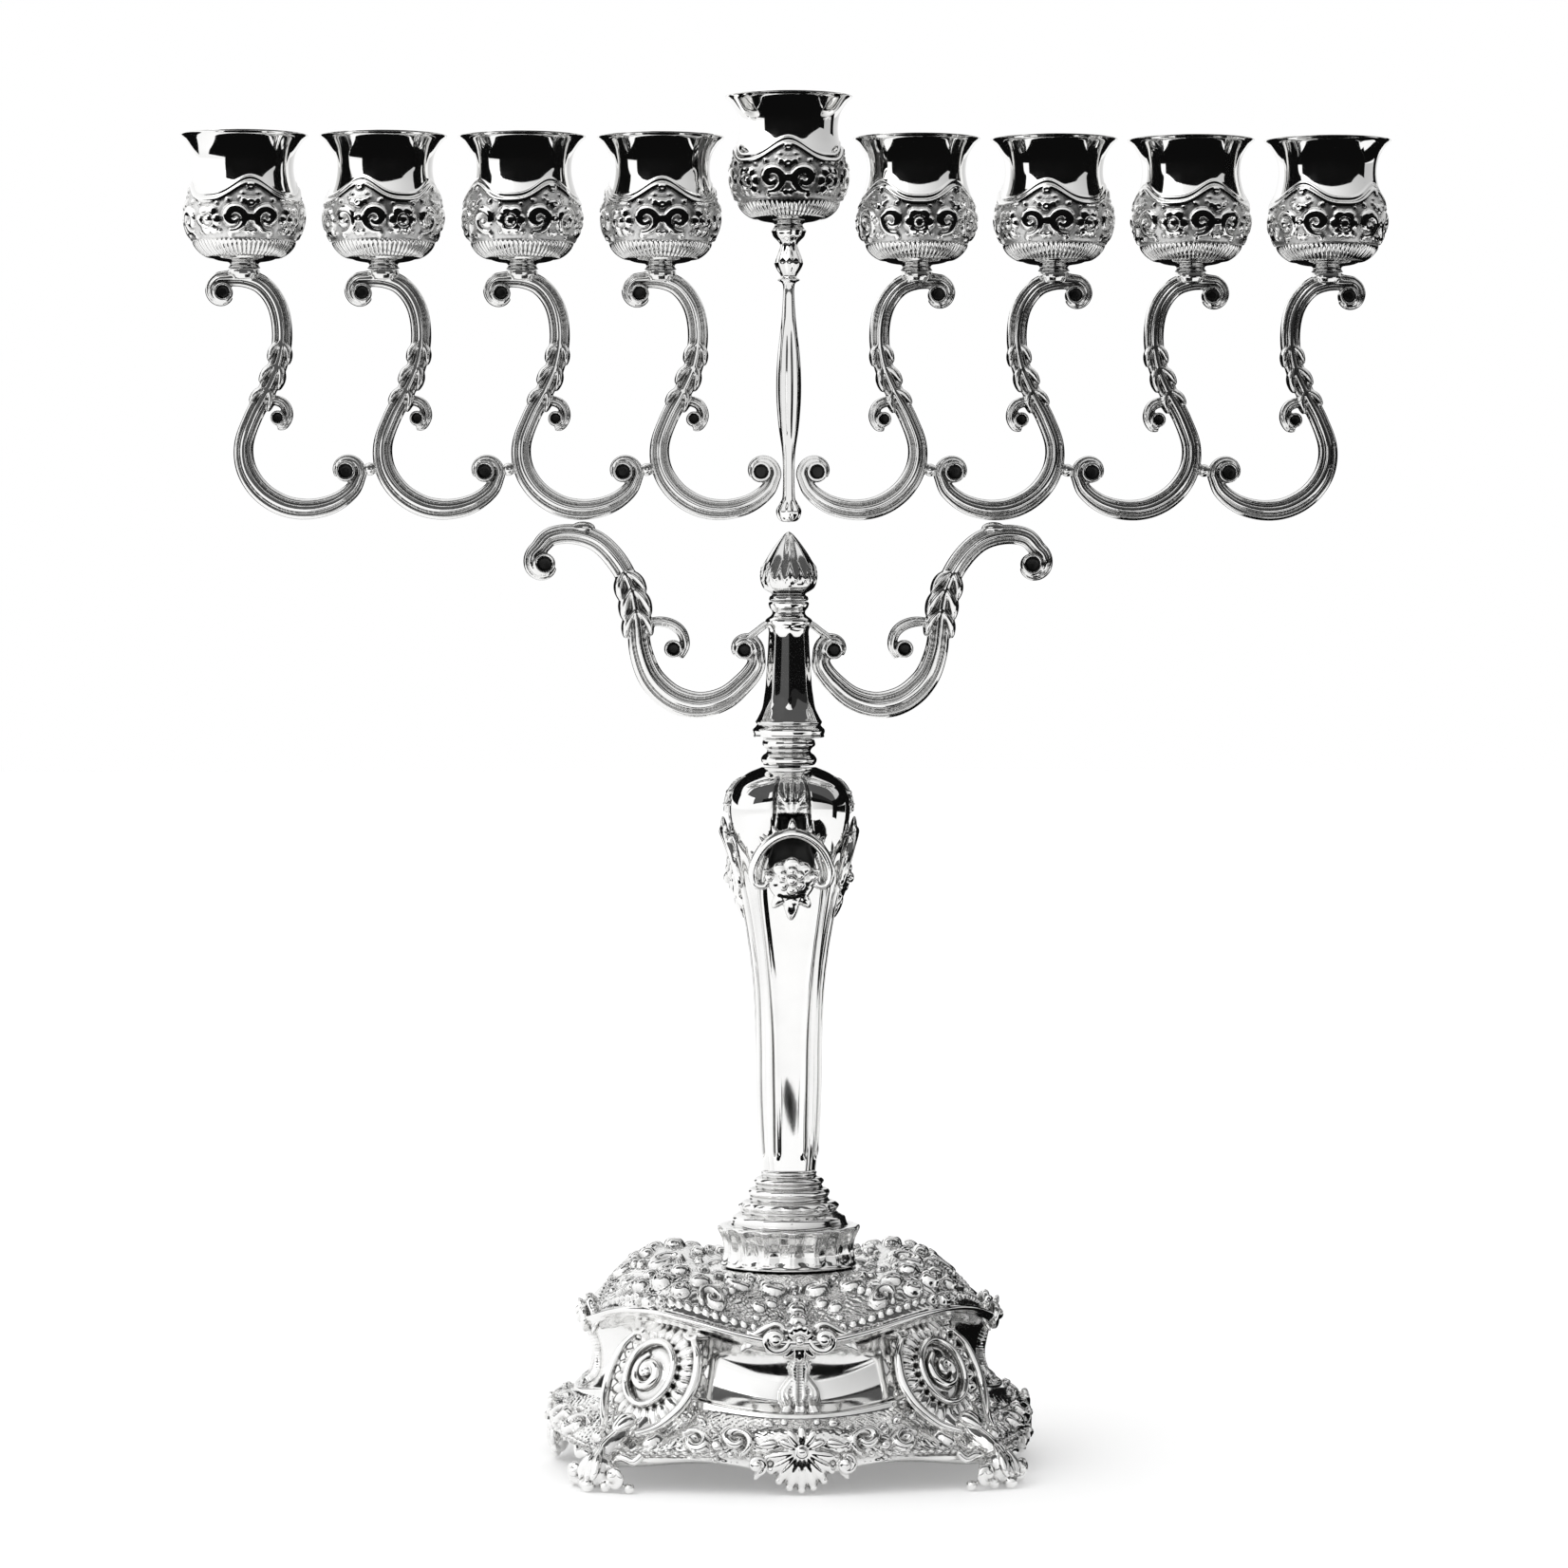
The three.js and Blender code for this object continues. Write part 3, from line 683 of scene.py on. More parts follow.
STEM_COLLAR = [
    (4.2, 0), (7.6, 0), (8.6, 0.8), (8.9, 2.0), (8.2, 3.2), (7.0, 4.2), (7.2, 5.2), (8.3, 6.2),
    (8.4, 7.2), (7.6, TOP), (4.2, TOP),
]
BASE_COLLAR = [
    (3.6, 0), (20.2, 0), (20.9, 1.6), (20.2, 4.4), (20.6, 8), (22.0, 11.2), (22.3, 12.6), (20.6, 13.0),
    (18.8, 13.0), (18.2, 14.4), (17.8, 15.6), (16.4, 16.4), (15.2, 17.2), (15.4, 18.8), (14.8, 20.2),
    (13.0, 20.8), (12.4, 21.8), (13.0, 23.0), (12.6, 24.2), (10.9, 24.8), (10.6, 25.8), (11.2, 26.8),
    (10.4, 27.8), (8.8, 28.4), (8.5, TOP), (3.6, TOP),
]


def leaf_edge(count, angle):
    """How far round a ring of leaves a place is from a leaf's middle, 0 to 1."""
    return np.abs(np.sin(count / 2 * angle))


def plain_shape(angle, radius, up, tall):
    return 0 * angle


def bud_shape(angle, radius, up, tall):
    t = up / tall
    petals = 0.9 * np.sin(math.pi * np.clip(t, 0, 1)) * (0.5 - leaf_edge(8, angle))
    tips = 0.5 * hill(t, 0.3 + 0.22 * (1 - leaf_edge(16, angle)), 0.05)
    return petals + tips * (radius > 1.5)


def block_shape(angle, radius, up, tall):
    return window(up, 9, 36, 4, 4) * 0.7 * (0.5 - leaf_edge(8, angle))


def spindle_shape(angle, radius, up, tall):
    return 0.22 * np.cos(8 * angle) * np.clip(radius - 2.2, 0, 1)


def collar_shape(angle, radius, up, tall):
    """Upright leaves round the cup at the foot of the collar, and a beaded ring above it."""
    middle = 1 - leaf_edge(16, angle)
    leafy = rise_between(up, 0.6, 3.0) * (1 - rise_between(up, 11.6, 13.2)) * (radius > 17)
    vein = 0.6 * hill(leaf_edge(16, angle), 0, 0.12)
    beaded = 0.7 * np.sqrt(middle) * hill(up, 19.0, 0.8) * (radius < 17)
    return leafy * (1.7 * middle**0.7 - 1.0 - vein) + beaded


def turned(node, finish, knots, rows, cell, material, shape=plain_shape, bored=False):
    """A turned piece of cell steps to an eighth of a turn; shape adds relief to its radius."""
    low, high = box_mm(node)
    tall = high[2] - low[2]
    line = smooth([(radius, tall if up is TOP else up) for radius, up in knots], rows)
    radius, up = line[:, :1], line[:, 1:]
    angle = np.repeat(eighth(cell)[None], rows, axis=0)
    radius = np.maximum(radius + tiled(shape(angle, radius, up, tall)), 0.01)
    name = f"{node}_{finish}"
    mesh = Shape().add_rings(around(radius, all_round(cell), low[2] + up), bored).mesh(name)
    piece(name, mesh, node, material)


def make_turned():
    turned("bud_finial", "cast", BUD, 110, 20, arm_silver, bud_shape)
    turned("arm_block", "turned", BLOCK, 200, 20, polished, block_shape)
    turned("centre_spindle", "turned", SPINDLE, 300, 10, polished, spindle_shape)
    turned("stem_collar", "turned", STEM_COLLAR, 70, 20, polished, bored=True)
    turned("base_collar", "chased", BASE_COLLAR, 300, 40, chased, collar_shape, bored=True)


# ---------- panelled stem ----------
# Height, half-width, and the share of the half-width that the flat panels take.
BALUSTER = [
    (91.6, 8.2, 0.6), (98, 8.8, 0.6), (108, 9.3, 0.58), (120, 9.7, 0.58), (135, 9.9, 0.6),
    (150, 10.6, 0.66), (164, 12.2, 0.7), (178, 14.6, 0.7), (186, 16.3, 0.62), (193, 17.8, 0.46),
    (199, 19.0, 0.34), (205, 19.8, 0.29), (210, 19.4, 0.28), (214.4, 17.2, 0.28),
    (217.4, 13.2, 0.28), (219.4, 8.6, 0.28),
]
CORNER_SHARE = 0.74
BALUSTER_BORE = 4.2
KNOP_LOW, KNOP_FULL = 184.0, 196.0  # the corners round out into lobes between these heights
SHOULDER_LOW, SHOULDER_FULL = 213.0, 218.5  # the whole plan rounds out between these
PANEL_FOOT, PANEL_HEAD = (95, 98), (215.5, 217)  # the panels' edge lines fade in and out over these
HOOD_HOLLOW = (192.6, 5.2, 3.0, 8.5)  # middle height, half height, depth, and reach to either side
PALMETTE_HOLLOW = (201.8, 3.4, 3.0, 5.4)
HOLLOW_REACH = 7.4  # the hollows' dark ground ends this far to either side of a panel's middle
FAN_TIPS = [(2.0, 214.6), (4.0, 212.0), (5.0, 208.0)]


def hollow(z, across, form):
    middle, half, depth, reach = form
    return depth * np.clip(1 - (across / reach) ** 4, 0, 1) * half_round((z - middle) / half)


def palmette(across, z):
    """A fan of leaves at the head of a panel."""
    stem = smooth([(0, 201.6), (0, 208), (0, 215.6)], 20)
    leaves = [smooth([(0, 202.4), (1.4, 206.8), tip], 20) for tip in FAN_TIPS]
    return highest(stroke(across, z, stem, 1.0, 1.3), *(stroke(across, z, leaf, 0.9, 1.1) for leaf in leaves))


def baluster_radius(angle, z, half, share):
    """The stem's radius over an eighth of a turn, from the middle of a panel to a corner."""
    edge = np.arctan(share)
    past = np.clip((angle - edge) / (EIGHTH - edge), 0, 1)
    flat = half / np.cos(angle)
    side_x, side_y = CORNER_SHARE - 1, CORNER_SHARE - share
    cut = half * (side_y - share * side_x) / (side_y * np.cos(angle) - side_x * np.sin(angle))
    cut = cut - 0.05 * half * np.sin(math.pi * past) ** 2
    lobe = half * (1.0 + 0.055 * np.sin(QUARTER * past) ** 0.7)
    knop = rise_between(z, KNOP_LOW, KNOP_FULL)
    corner = cut * (1 - knop) + lobe * knop
    radius = np.where(angle < edge, flat * (1 - 0.02 * knop), corner)
    shoulder = rise_between(z, SHOULDER_LOW, SHOULDER_FULL)
    radius = radius * (1 - shoulder) + half * shoulder
    lined = rise_between(z, *PANEL_FOOT) * (1 - rise_between(z, *PANEL_HEAD))
    from_edge, across = half * (angle - edge), half * angle
    bead, groove = 0.5 * hill(from_edge, -1.1, 0.5), 1.5 * hill(from_edge, 0, 0.4)
    radius = radius + lined * (bead - groove)
    return radius - hollow(z, across, HOOD_HOLLOW) - hollow(z, across, PALMETTE_HOLLOW) + palmette(across, z)


def make_baluster():
    rows, cell = 420, 44
    z, half, share = evenly(spline(BALUSTER, np.linspace(0, len(BALUSTER) - 1, 900)), rows).T[..., None]
    angle = np.repeat(eighth(cell)[None], rows, axis=0)
    turn = all_round(cell)
    skin = around(tiled(baluster_radius(angle, z, half, share)), turn, z)
    bore = around(BALUSTER_BORE, turn, z[[-1, 0]])
    mesh = Shape().add_rings(np.vstack([skin, bore]), True).mesh("baluster")
    x, y, height = face_centres(mesh).T
    lateral, outward = np.minimum(abs(x), abs(y)), np.maximum(abs(x), abs(y))
    heights, halves, _ = zip(*BALUSTER)
    sunk = np.interp(height, heights, halves) - outward > 1.0
    low, high = HOOD_HOLLOW[0] - HOOD_HOLLOW[1], PALMETTE_HOLLOW[0] + PALMETTE_HOLLOW[1]
    in_hollow = (height > low) & (height < high) & (lateral < HOLLOW_REACH)
    finish_faces(mesh, polished, oxidised, in_hollow & sunk)
    piece("stem_baluster_panelled", mesh, "stem_baluster", polished)


# ---------- base ----------
# Radius and height at the middle of a side and at a corner: outside from the collar down, inside going up.
SIDE_OUTSIDE = [
    (3.6, 61), (21, 61), (29, 58), (40, 56.5), (52, 52), (64.5, 45), (61.5, 40.5), (60, 34),
    (61.5, 27), (67.5, 23), (74.4, 19.4), (75, 13.5), (68.6, 5),
]
CORNER_OUTSIDE = [
    (3.6, 61), (21, 61), (31, 60), (44, 63), (57, 62), (66, 53), (60, 48.5), (56.5, 43),
    (58, 35), (62, 27), (68, 19), (78.5, 12.5), (82.5, 8.6),
]
SIDE_INSIDE = [
    (66, 5.2), (72.4, 13.5), (71.4, 18), (65, 20.6), (59, 26), (57.5, 34), (54, 46), (20, 57), (3.6, 57.5),
]
CORNER_INSIDE = [
    (80.6, 6.8), (76, 9.4), (65.5, 16.6), (59.4, 25), (55.4, 33.5), (54, 42.5), (56, 54), (20, 57),
    (3.6, 57.5),
]
LIP, CAVETTO_END, EDGE = 5, 9, 12  # knots at the ledge, the foot of the hollow and the lower edge
ARCH_RISE = 3.0
ARCH_REACH, INNER_ARCH_REACH = 2.4, 2.2  # the lower edge's arches fade out over so many knots
MOULDINGS = ((LIP, 1.2, 0.12), (CAVETTO_END, 0.9, 0.12), (EDGE - 0.2, 0.8, 0.14))  # knot, height, width
BEAD_ROWS = ((LIP - 0.42, 3.1, 1.25), (EDGE - 0.62, 2.9, 1.1))  # knot, pitch, radius


def base_rings(side, corner, angle, arch):
    """Rings whose radius and height run from a side's to a corner's as the plan turns."""
    share = np.sin(2 * angle)[None, :] ** 2
    rise = ARCH_RISE * np.sin(4 * angle)[None, :] ** 2 * arch[:, None]
    r = side[:, :1] + (corner[:, :1] - side[:, :1]) * share
    z = side[:, 1:] + (corner[:, 1:] - side[:, 1:]) * share + rise
    return around(r, angle, z)


def dome_relief(a, c, s):
    """Chasing of the upper dome; a is the way round from a side's middle, c from a corner, s down."""
    big = spiral((18.0, 22.0), 5.6, 1.6, 0.62, 1.2)
    small = spiral((27.0, 37.0), 4.6, 1.3, 0.1, -1.2)
    return highest(
        stroke(a, s, spiral((6.6, 19.0), 4.8, 1.5, 0.55, 1.15), 1.9, 2.6),
        stroke(a, s, [(0, 8), (0, 14), (0, 20)], 2.2, 2.2, 3, 0.3),
        stroke(a, s, [(0, 25), (0, 31), (0, 37), (0, 41)], 3.4, 2.4, 3, 0.4),
        stroke(a, s, [(3, 27), (8, 29), (12, 33), (13, 38.5)], 2.6, 2.0, 3, 0.4),
        stroke(a, s, [(7, 12), (10, 8), (14, 6), (18, 5.8)], 2.4, 1.8, 3, 0.4),
        stroke(a, s, big, 1.9, 2.2),
        stroke(a, s, [big[0], (21, 29.5), (23.6, 32), small[0]], 1.8, 2.0),
        stroke(a, s, small, 1.7, 2.0),
        stroke(c, s, [(0, 45), (0, 36), (0, 27), (0, 17)], 4.8, 3.2, 4, 0.35),
        stroke(c, s, [(4.4, 44), (8.4, 38), (10.4, 31), (9.6, 22)], 3.2, 2.6, 3, 0.4),
        stroke(c, s, [(4.0, 16), (7.0, 12), (7.6, 7)], 2.4, 1.9, 3, 0.4),
    )


def apron_relief(a, c, s):
    """Chasing of the lower apron."""
    return highest(
        stroke(a, s, spiral((20.0, 90.0), 5.2, 1.5, 0.3, 1.2), 1.8, 2.2),
        stroke(a, s, spiral((33.0, 91.5), 4.6, 1.4, 0.9, -1.2), 1.7, 2.0),
        stroke(a, s, [(5, 80), (10, 81), (15, 83.6)], 2.4, 1.9, 3, 0.4),
        stroke(a, s, [(26, 84.6), (31, 82.6), (37, 82.4)], 2.4, 1.9, 3, 0.4),
        stroke(a, s, [(26.4, 98), (26.2, 93), (26.8, 87)], 2.4, 2.0, 3, 0.4),
        stroke(c, s, [(0, 78), (0, 86), (0, 94)], 5.4, 2.6, 4, 0.35),
        stroke(c, s, [(5, 80), (9.4, 85), (11, 91), (9.8, 98)], 3.0, 2.2, 3, 0.4),
    )


def cavetto_relief(a, s):
    """A leafy stem down the middle of each side's polished hollow."""
    return highest(
        stroke(a, s, smooth([(0, 48), (0, 62), (0, 77)], 30), 3.6, 3.0, 3, 0.5),
        stroke(a, s, smooth([(0.6, 60), (4.2, 66), (3.8, 73), (7.4, 78)], 30), 2.2, 2.4, 2, 0.3),
    )


def base_relief(places, down, skin, cell):
    """Chasing, mouldings and beads of the base, over an eighth of a turn."""
    angle = eighth(cell)
    radius = np.hypot(skin[:, :cell, 0], skin[:, :cell, 1])
    a, c = radius * angle, radius * (EIGHTH - angle)
    place, s = (np.repeat(column[:, None], cell, axis=1) for column in (places, down))
    dome = window(place, 1.05, LIP - 0.1, 0.2, 0.15)
    cavetto = window(place, LIP + 0.4, CAVETTO_END - 0.1, 0.3, 0.3)
    apron = window(place, CAVETTO_END + 0.15, EDGE - 0.1, 0.2, 0.2)
    lift = dome * dome_relief(a, c, s) + apron * apron_relief(a, c, s)
    matt = 0.12 * np.sin(3.1 * a + np.sin(1.3 * s)) * np.sin(2.9 * s + np.sin(1.7 * a))
    lift += np.where(lift < 0.1, matt, 0) * np.maximum(dome, apron)
    for knot, height, width in MOULDINGS:
        lift += height * hill(place, knot, width)
    for knot, pitch, size in BEAD_ROWS:
        lift += beads(a, s - s[np.abs(places - knot).argmin()], pitch, size)
    return lift + cavetto * cavetto_relief(a, s)


def make_base():
    cell = 110
    places = np.concatenate([np.linspace(0, 1, 8)[:-1], np.linspace(1, EDGE, 330)])
    side, corner = spline(SIDE_OUTSIDE, places), spline(CORNER_OUTSIDE, places)
    arch = np.clip((places - EDGE + ARCH_REACH) / ARCH_REACH, 0, 1) ** 1.5
    turn = all_round(cell)
    skin = base_rings(side, corner, turn, arch)
    down = travelled((side + corner) / 2)
    lift = base_relief(places, down - np.interp(1, places, down), skin, cell)
    skin = skin - tiled(lift)[..., None] * normals_of(skin)
    places = np.linspace(0, len(SIDE_INSIDE) - 1, 60)
    side, corner = spline(SIDE_INSIDE, places), spline(CORNER_INSIDE, places)
    inside = base_rings(side, corner, turn, np.clip(1 - places / INNER_ARCH_REACH, 0, 1) ** 1.5)
    mesh = Shape().add_rings(np.concatenate([skin, inside]), True).mesh("base_dome")
    piece("base_dome_chased", mesh, "base_dome", chased)


# ---------- cast ornament, modelled on the +X axis: outward, across (Y) and up ----------
def strand(shape, points, ends, middle, count=60):
    """A round strand through [outward, across, up] points, thicker in the middle than at its ends."""
    line = smooth(points, count)
    along = unit(np.gradient(line, axis=0))
    side = unit(np.cross(along, [1.0, 0.0, 0.0]))
    out = np.cross(side, along)
    section = ROUND_SECTION[None, :, :] * swell(count, ends, middle)[:, None, None]
    shape.add_rings(line[:, None] + section[..., :1] * side[:, None] + section[..., 1:] * out[:, None])


def dab(shape, root, tip, width, thick, sharp=0.35):
    """A leaf-like lump from root to tip, of a half-width across and a half-thickness outward."""
    root, tip = np.asarray(root, float), np.asarray(tip, float)
    axis = (tip - root) / 2
    side = unit(np.cross(axis, [1.0, 0.0, 0.0]))
    out = np.cross(side, unit(axis))
    t = np.cos(np.linspace(0.06, math.pi - 0.06, 15))
    turn = round_turn(16)[None, :, None]
    size = (np.sqrt(1 - t * t) * (1 - sharp * t))[:, None, None]
    centre = (root + tip) / 2 + t[:, None] * axis
    shape.add_rings(centre[:, None] + (np.cos(turn) * side * width + np.sin(turn) * out * thick) * size)


def ball(shape, centre, halves):
    polar = np.linspace(0.05, math.pi - 0.05, 16)[:, None]
    sphere = around(np.sin(polar), round_turn(24), np.cos(polar))
    shape.add_rings(np.asarray(centre, float) + sphere * halves)


def volute(shape, centre, outer, inner, start, turns, thick, outward=0.0):
    """A coiled strand in the upright plane across the axis, rising outward to its eye."""
    flat = spiral(centre[1:], outer, inner, start, turns, 50)
    rise = centre[0] + outward * np.linspace(0, 1, 50)
    strand(shape, np.column_stack([rise, flat])[::5], thick * 0.75, thick, 70)
    eye = inner + thick * 0.5
    ball(shape, (centre[0] + outward, *centre[1:]), [thick * 1.3, eye, eye])


KNEE_DRAWN = np.array([57.0, 0, 36.0])  # the middle of the cartouche as drawn, upright
KNEE_SET = np.array([61.4, 0, 32.4])  # and where it is set
KNEE_LEAN = 0.44


def knee_shape():
    """Oval cartouche leaning back on the corner: a ringed boss with a swirl, in a frill of gadroons."""
    shape = Shape()
    x, _, z = KNEE_DRAWN
    half_y, half_z = 16.4, 17.0
    ball(shape, (x - 1.8, 0, z), [4.8, half_y * 0.8, half_z * 0.84])
    for angle in round_turn(24) + 0.12:
        y, up = half_y * math.cos(angle), half_z * math.sin(angle)
        long = 1.0 + 0.1 * max(-math.sin(angle), 0)
        root = (x + 1.6, y * 0.56, z + up * 0.58)
        dab(shape, root, (x - 0.6, y * long, z + up * long), 2.0, 1.9, -0.25)
    ring = [(x + 3.2, 9.4 * math.cos(t), z + 10.2 * math.sin(t)) for t in np.linspace(0, FULL, 33)]
    strand(shape, ring, 1.1, 1.1, 90)
    swirl = spiral((0, z), 6.4, 1.0, 0.3, 1.5, 36)
    strand(shape, np.column_stack([np.linspace(x + 3.0, x + 4.8, 36), swirl])[::3], 0.8, 1.6, 80)
    ball(shape, (x + 3.9, 0, z), [1.5, 1.6, 1.6])
    border = [(1.5, 12.6, 12.0), (1.6, 16.2, 7), (1.4, 17.8, -1), (2.2, 16.2, -9), (4.4, 11.6, -16.4),
              (8.4, 7.0, -21)]
    for side in (-1, 1):
        strand(shape, [(x + out, side * y, z + up) for out, y, up in border], 1.0, 1.5)
        curl = (x + 1.6, side * 10.6, z + 15.0)
        volute(shape, curl, 3.2, 0.8, 0.25 - side * 0.25, side * -1.1, 0.85, 0.8)
    dab(shape, (x + 4.8, 0, z - 14.4), (x + 10.4, 0, z - 21.4), 3.6, 2.0)
    shape.verts = tilt_y(shape.verts - KNEE_DRAWN, -KNEE_LEAN) + KNEE_SET
    return shape


def side_scroll_shape():
    """Leafy crest on the ledge: two volutes that meet at a shell, with leaves trailing outward."""
    shape = Shape()
    x, z = 62.6, 45.6
    ball(shape, (x - 2.5, 0, z - 0.6), [4.4, 7.0, 4.2])
    trail = [(1.0, 3.4, 2.0), (0.6, 7.0, 5.2), (-0.6, 12.4, 2.6), (-1.4, 17.2, 0.4)]
    for side in (-1, 1):
        curl = (x + 1.4, side * 7.4, z + 0.6)
        volute(shape, curl, 4.8, 1.2, 0.25 + side * 0.12, side * 1.25, 1.4, 2.0)
        strand(shape, [(x + out, side * y, z + up) for out, y, up in trail], 0.8, 1.4)
        for y, up in ((11.6, 3.2), (13.8, 2.0), (16.0, 1.2), (18.0, 0.4)):
            dab(shape, (x - 1.6, side * (y - 2.4), z + up - 0.6), (x - 0.6, side * y, z + up + 2.0), 1.2, 1.0)
            dab(shape, (x - 1.6, side * (y - 2.4), z + up - 1.2), (x, side * y, z + up - 3.8), 1.2, 1.0)
    for angle in np.linspace(-1.15, 1.15, 7):
        out, y = math.cos(angle), math.sin(angle)
        dab(shape, (x + 1.0, 1.2 * y, z), (x + 1.0 + 3.2 * out, 5.0 * y, z + 5.6 * out), 1.15, 1.1, -0.3)
    ball(shape, (x + 2.6, 0, z + 0.2), [1.5, 1.5, 1.5])
    for angle in (-0.75, 0.0, 0.75):
        down, y = math.cos(angle), math.sin(angle)
        dab(shape, (x + 1.0, y, z - 1.0), (x - 0.2, 7.0 * y, z - 1.0 - 6.2 * down), 1.4, 1.2, -0.2)
    return shape


def apron_shell_shape():
    """Pendant shell on a side's lower edge, under a small palmette and between small scrolls."""
    shape = Shape()
    x, z = 75.6, 13.8
    ball(shape, (x - 3.0, 0, z - 4.4), [3.6, 9.0, 7.2])
    for angle in np.linspace(-1.35, 1.35, 9):
        down, y = math.cos(angle), math.sin(angle)
        tip = (x - 1.6, 10.8 * y, z + 0.6 - 12.4 * down)
        dab(shape, (x + 1.0, 2.0 * y, z - 1.0 * down), tip, 1.7, 1.7, -0.4)
        ball(shape, tip, [1.5, 1.4, 1.4])
    ball(shape, (x + 0.8, 0, z), [1.6, 1.7, 1.5])
    for angle in np.linspace(-1.2, 1.2, 5):
        up, y = math.cos(angle), math.sin(angle)
        tip = (x - 0.6, 7.4 * y, z + 0.8 + 7.0 * up)
        dab(shape, (x + 0.6, 1.4 * y, z + 0.8 * up), tip, 1.3, 1.3, -0.35)
    for side in (-1, 1):
        curl = (x - 0.8, side * 13.6, z - 4.2)
        volute(shape, curl, 3.0, 0.8, 0.5 - side * 0.25, side * -1.2, 1.0, 0.8)
        dab(shape, (x - 0.6, side * 7.4, z + 2.6), (x - 1.0, side * 13.4, z + 1.4), 1.5, 1.3)
        dab(shape, (x - 1.2, side * 10.6, z - 3.0), (x - 1.6, side * 14.4, z - 9.0), 1.5, 1.2)
    return shape


def foot_shape():
    """Scroll foot: a leafed toe between two volutes, with beads where it meets the ground."""
    shape = Shape()
    x = 88.0
    ball(shape, (x - 2.0, 0, 6.0), [6.0, 5.6, 5.6])
    strand(shape, [(x - 2.0, 0, 7.0), (x - 4.6, 0, 11.4), (x - 10.0, 0, 14.6), (x - 17.0, 0, 18.6)], 1.6, 3.4)
    leaf = [(-3.4, 4.0, 8.6), (-3.2, 8.0, 10.6), (-4.6, 11.6, 9.6), (-6.0, 14.0, 12.0)]
    for side in (-1, 1):
        volute(shape, (x - 1.0, side * 8.0, 5.4), 4.0, 1.0, 0.25 + side * 0.1, side * 1.25, 1.35, 2.2)
        strand(shape, [(x + out, side * y, up) for out, y, up in leaf], 0.9, 1.4)
        ball(shape, (x + 0.2, side * 4.4, 2.0), [2.0, 1.8, 1.9])
        ball(shape, (x - 2.6, side * 11.6, 1.8), [1.8, 1.7, 1.7])
        dab(shape, (x + 0.4, side * 1.6, 12.0), (x + 4.2, side * 3.2, 5.0), 1.5, 1.2, -0.2)
    for y in (-2.6, 0, 2.6):
        dab(shape, (x - 2.0, y * 0.5, 13.4), (x + 4.6, y, 4.0), 1.5, 1.2, -0.2)
    ball(shape, (x + 3.2, 0, 2.2), [2.4, 2.2, 2.1])
    shape.verts[:, 2] = np.maximum(shape.verts[:, 2], 0.0)
    return shape


FLOWER_OUT, FLOWER_HEIGHT = 15.9, 184.0  # the flower's middle on the stem's face
FACE_SLOPE, FACE_CURVE = 0.2, 0.012  # how that face leans outward, and curves away to its sides


def at(out, y, up):
    """A place so far out from the stem's face, and across and up from the flower's middle."""
    return FLOWER_OUT + out + FACE_SLOPE * up - FACE_CURVE * y * y, y, FLOWER_HEIGHT + up


def stem_flower_shape():
    """Hooded flower on a stem panel: an arched hood with curled ends, a flower and a leaf drop."""
    shape = Shape()
    hood = [at(0.8, -6.6, 1.8), at(1.4, -8.4, -1.4), at(1.9, -11.4, -0.8), at(2.2, -12.2, 3.6),
            at(2.0, -9.8, 9.4), at(1.8, -5.4, 13.6), at(1.8, 0, 15.2)]
    hood += [(x, -y, up) for x, y, up in hood[-2::-1]]
    strand(shape, hood, 0.9, 1.7, 120)
    for side in (-1, 1):
        ball(shape, at(1.4, side * 7.0, 1.4), [1.7, 1.7, 1.7])
        for y, up in ((11.4, 6.4), (8.6, 11.0), (4.6, 14.4)):
            dab(shape, at(1.8, side * y * 0.9, up - 0.6), at(1.4, side * (y + 1.6), up + 3.2), 1.1, 0.9)
    dab(shape, at(1.6, 0, 14.0), at(1.0, 0, 20.0), 1.5, 1.1)
    ball(shape, at(0, 0, 0.4), [2.6, 7.6, 7.2])
    for ring, count, reach, big in ((0.0, 8, 7.4, 2.3), (0.5, 6, 4.4, 1.6)):
        for i in range(count):
            angle = FULL * (i + ring) / count
            y, up = math.cos(angle), math.sin(angle)
            root = at(2.0 + ring, 0.8 * y, 0.4 + 0.8 * up)
            dab(shape, root, at(1.4 + 2 * ring, reach * y, 0.4 + reach * up), big, 1.1, -0.3)
    ball(shape, at(3.4, 0, 0.4), [1.4, 1.8, 1.8])
    for side in (-1, 1):
        dab(shape, at(1.2, side * 2.4, -4.0), at(0.8, side * 6.0, -8.6), 1.9, 1.3)
    dab(shape, at(1.4, 0, -4.6), at(0.8, 0, -12.6), 2.4, 1.5)
    return shape


def make_cast_ornament():
    for prefix, shape, places, voxel in (
        ("foot", foot_shape(), CORNERS, 0.34),
        ("knee_shell", knee_shape(), CORNERS, 0.32),
        ("side_scroll", side_scroll_shape(), SIDES, 0.32),
        ("apron_shell", apron_shell_shape(), SIDES, 0.32),
        ("stem_flower", stem_flower_shape(), SIDES, 0.26),
    ):
        shared = fused(shape, prefix, voxel)
        for name, quarter in places.items():
            node = f"{prefix}_{name}"
            piece(f"{node}_cast", shared, node, cast, quarter * QUARTER)


# ---------- studs, tie rod, washer and nut ----------
M4_PITCH, M6_PITCH, M8_PITCH = 0.7, 1.0, 1.25
THREAD_DEPTH = 0.54  # as a share of the pitch
TIE_ROD_THREAD = 0.12  # the share of the tie rod's length that is threaded, at its foot
FIXING_BORE = 3.5
WASHER_BEVEL = 0.3
NUT_FLAT, NUT_CORNER = 5.4, 6.3  # from the axis to a flat, and to a turned-down corner
NUT_TRIM, NUT_BEVEL = 0.7, 0.8  # how much the ends' corners are turned down, and over what height


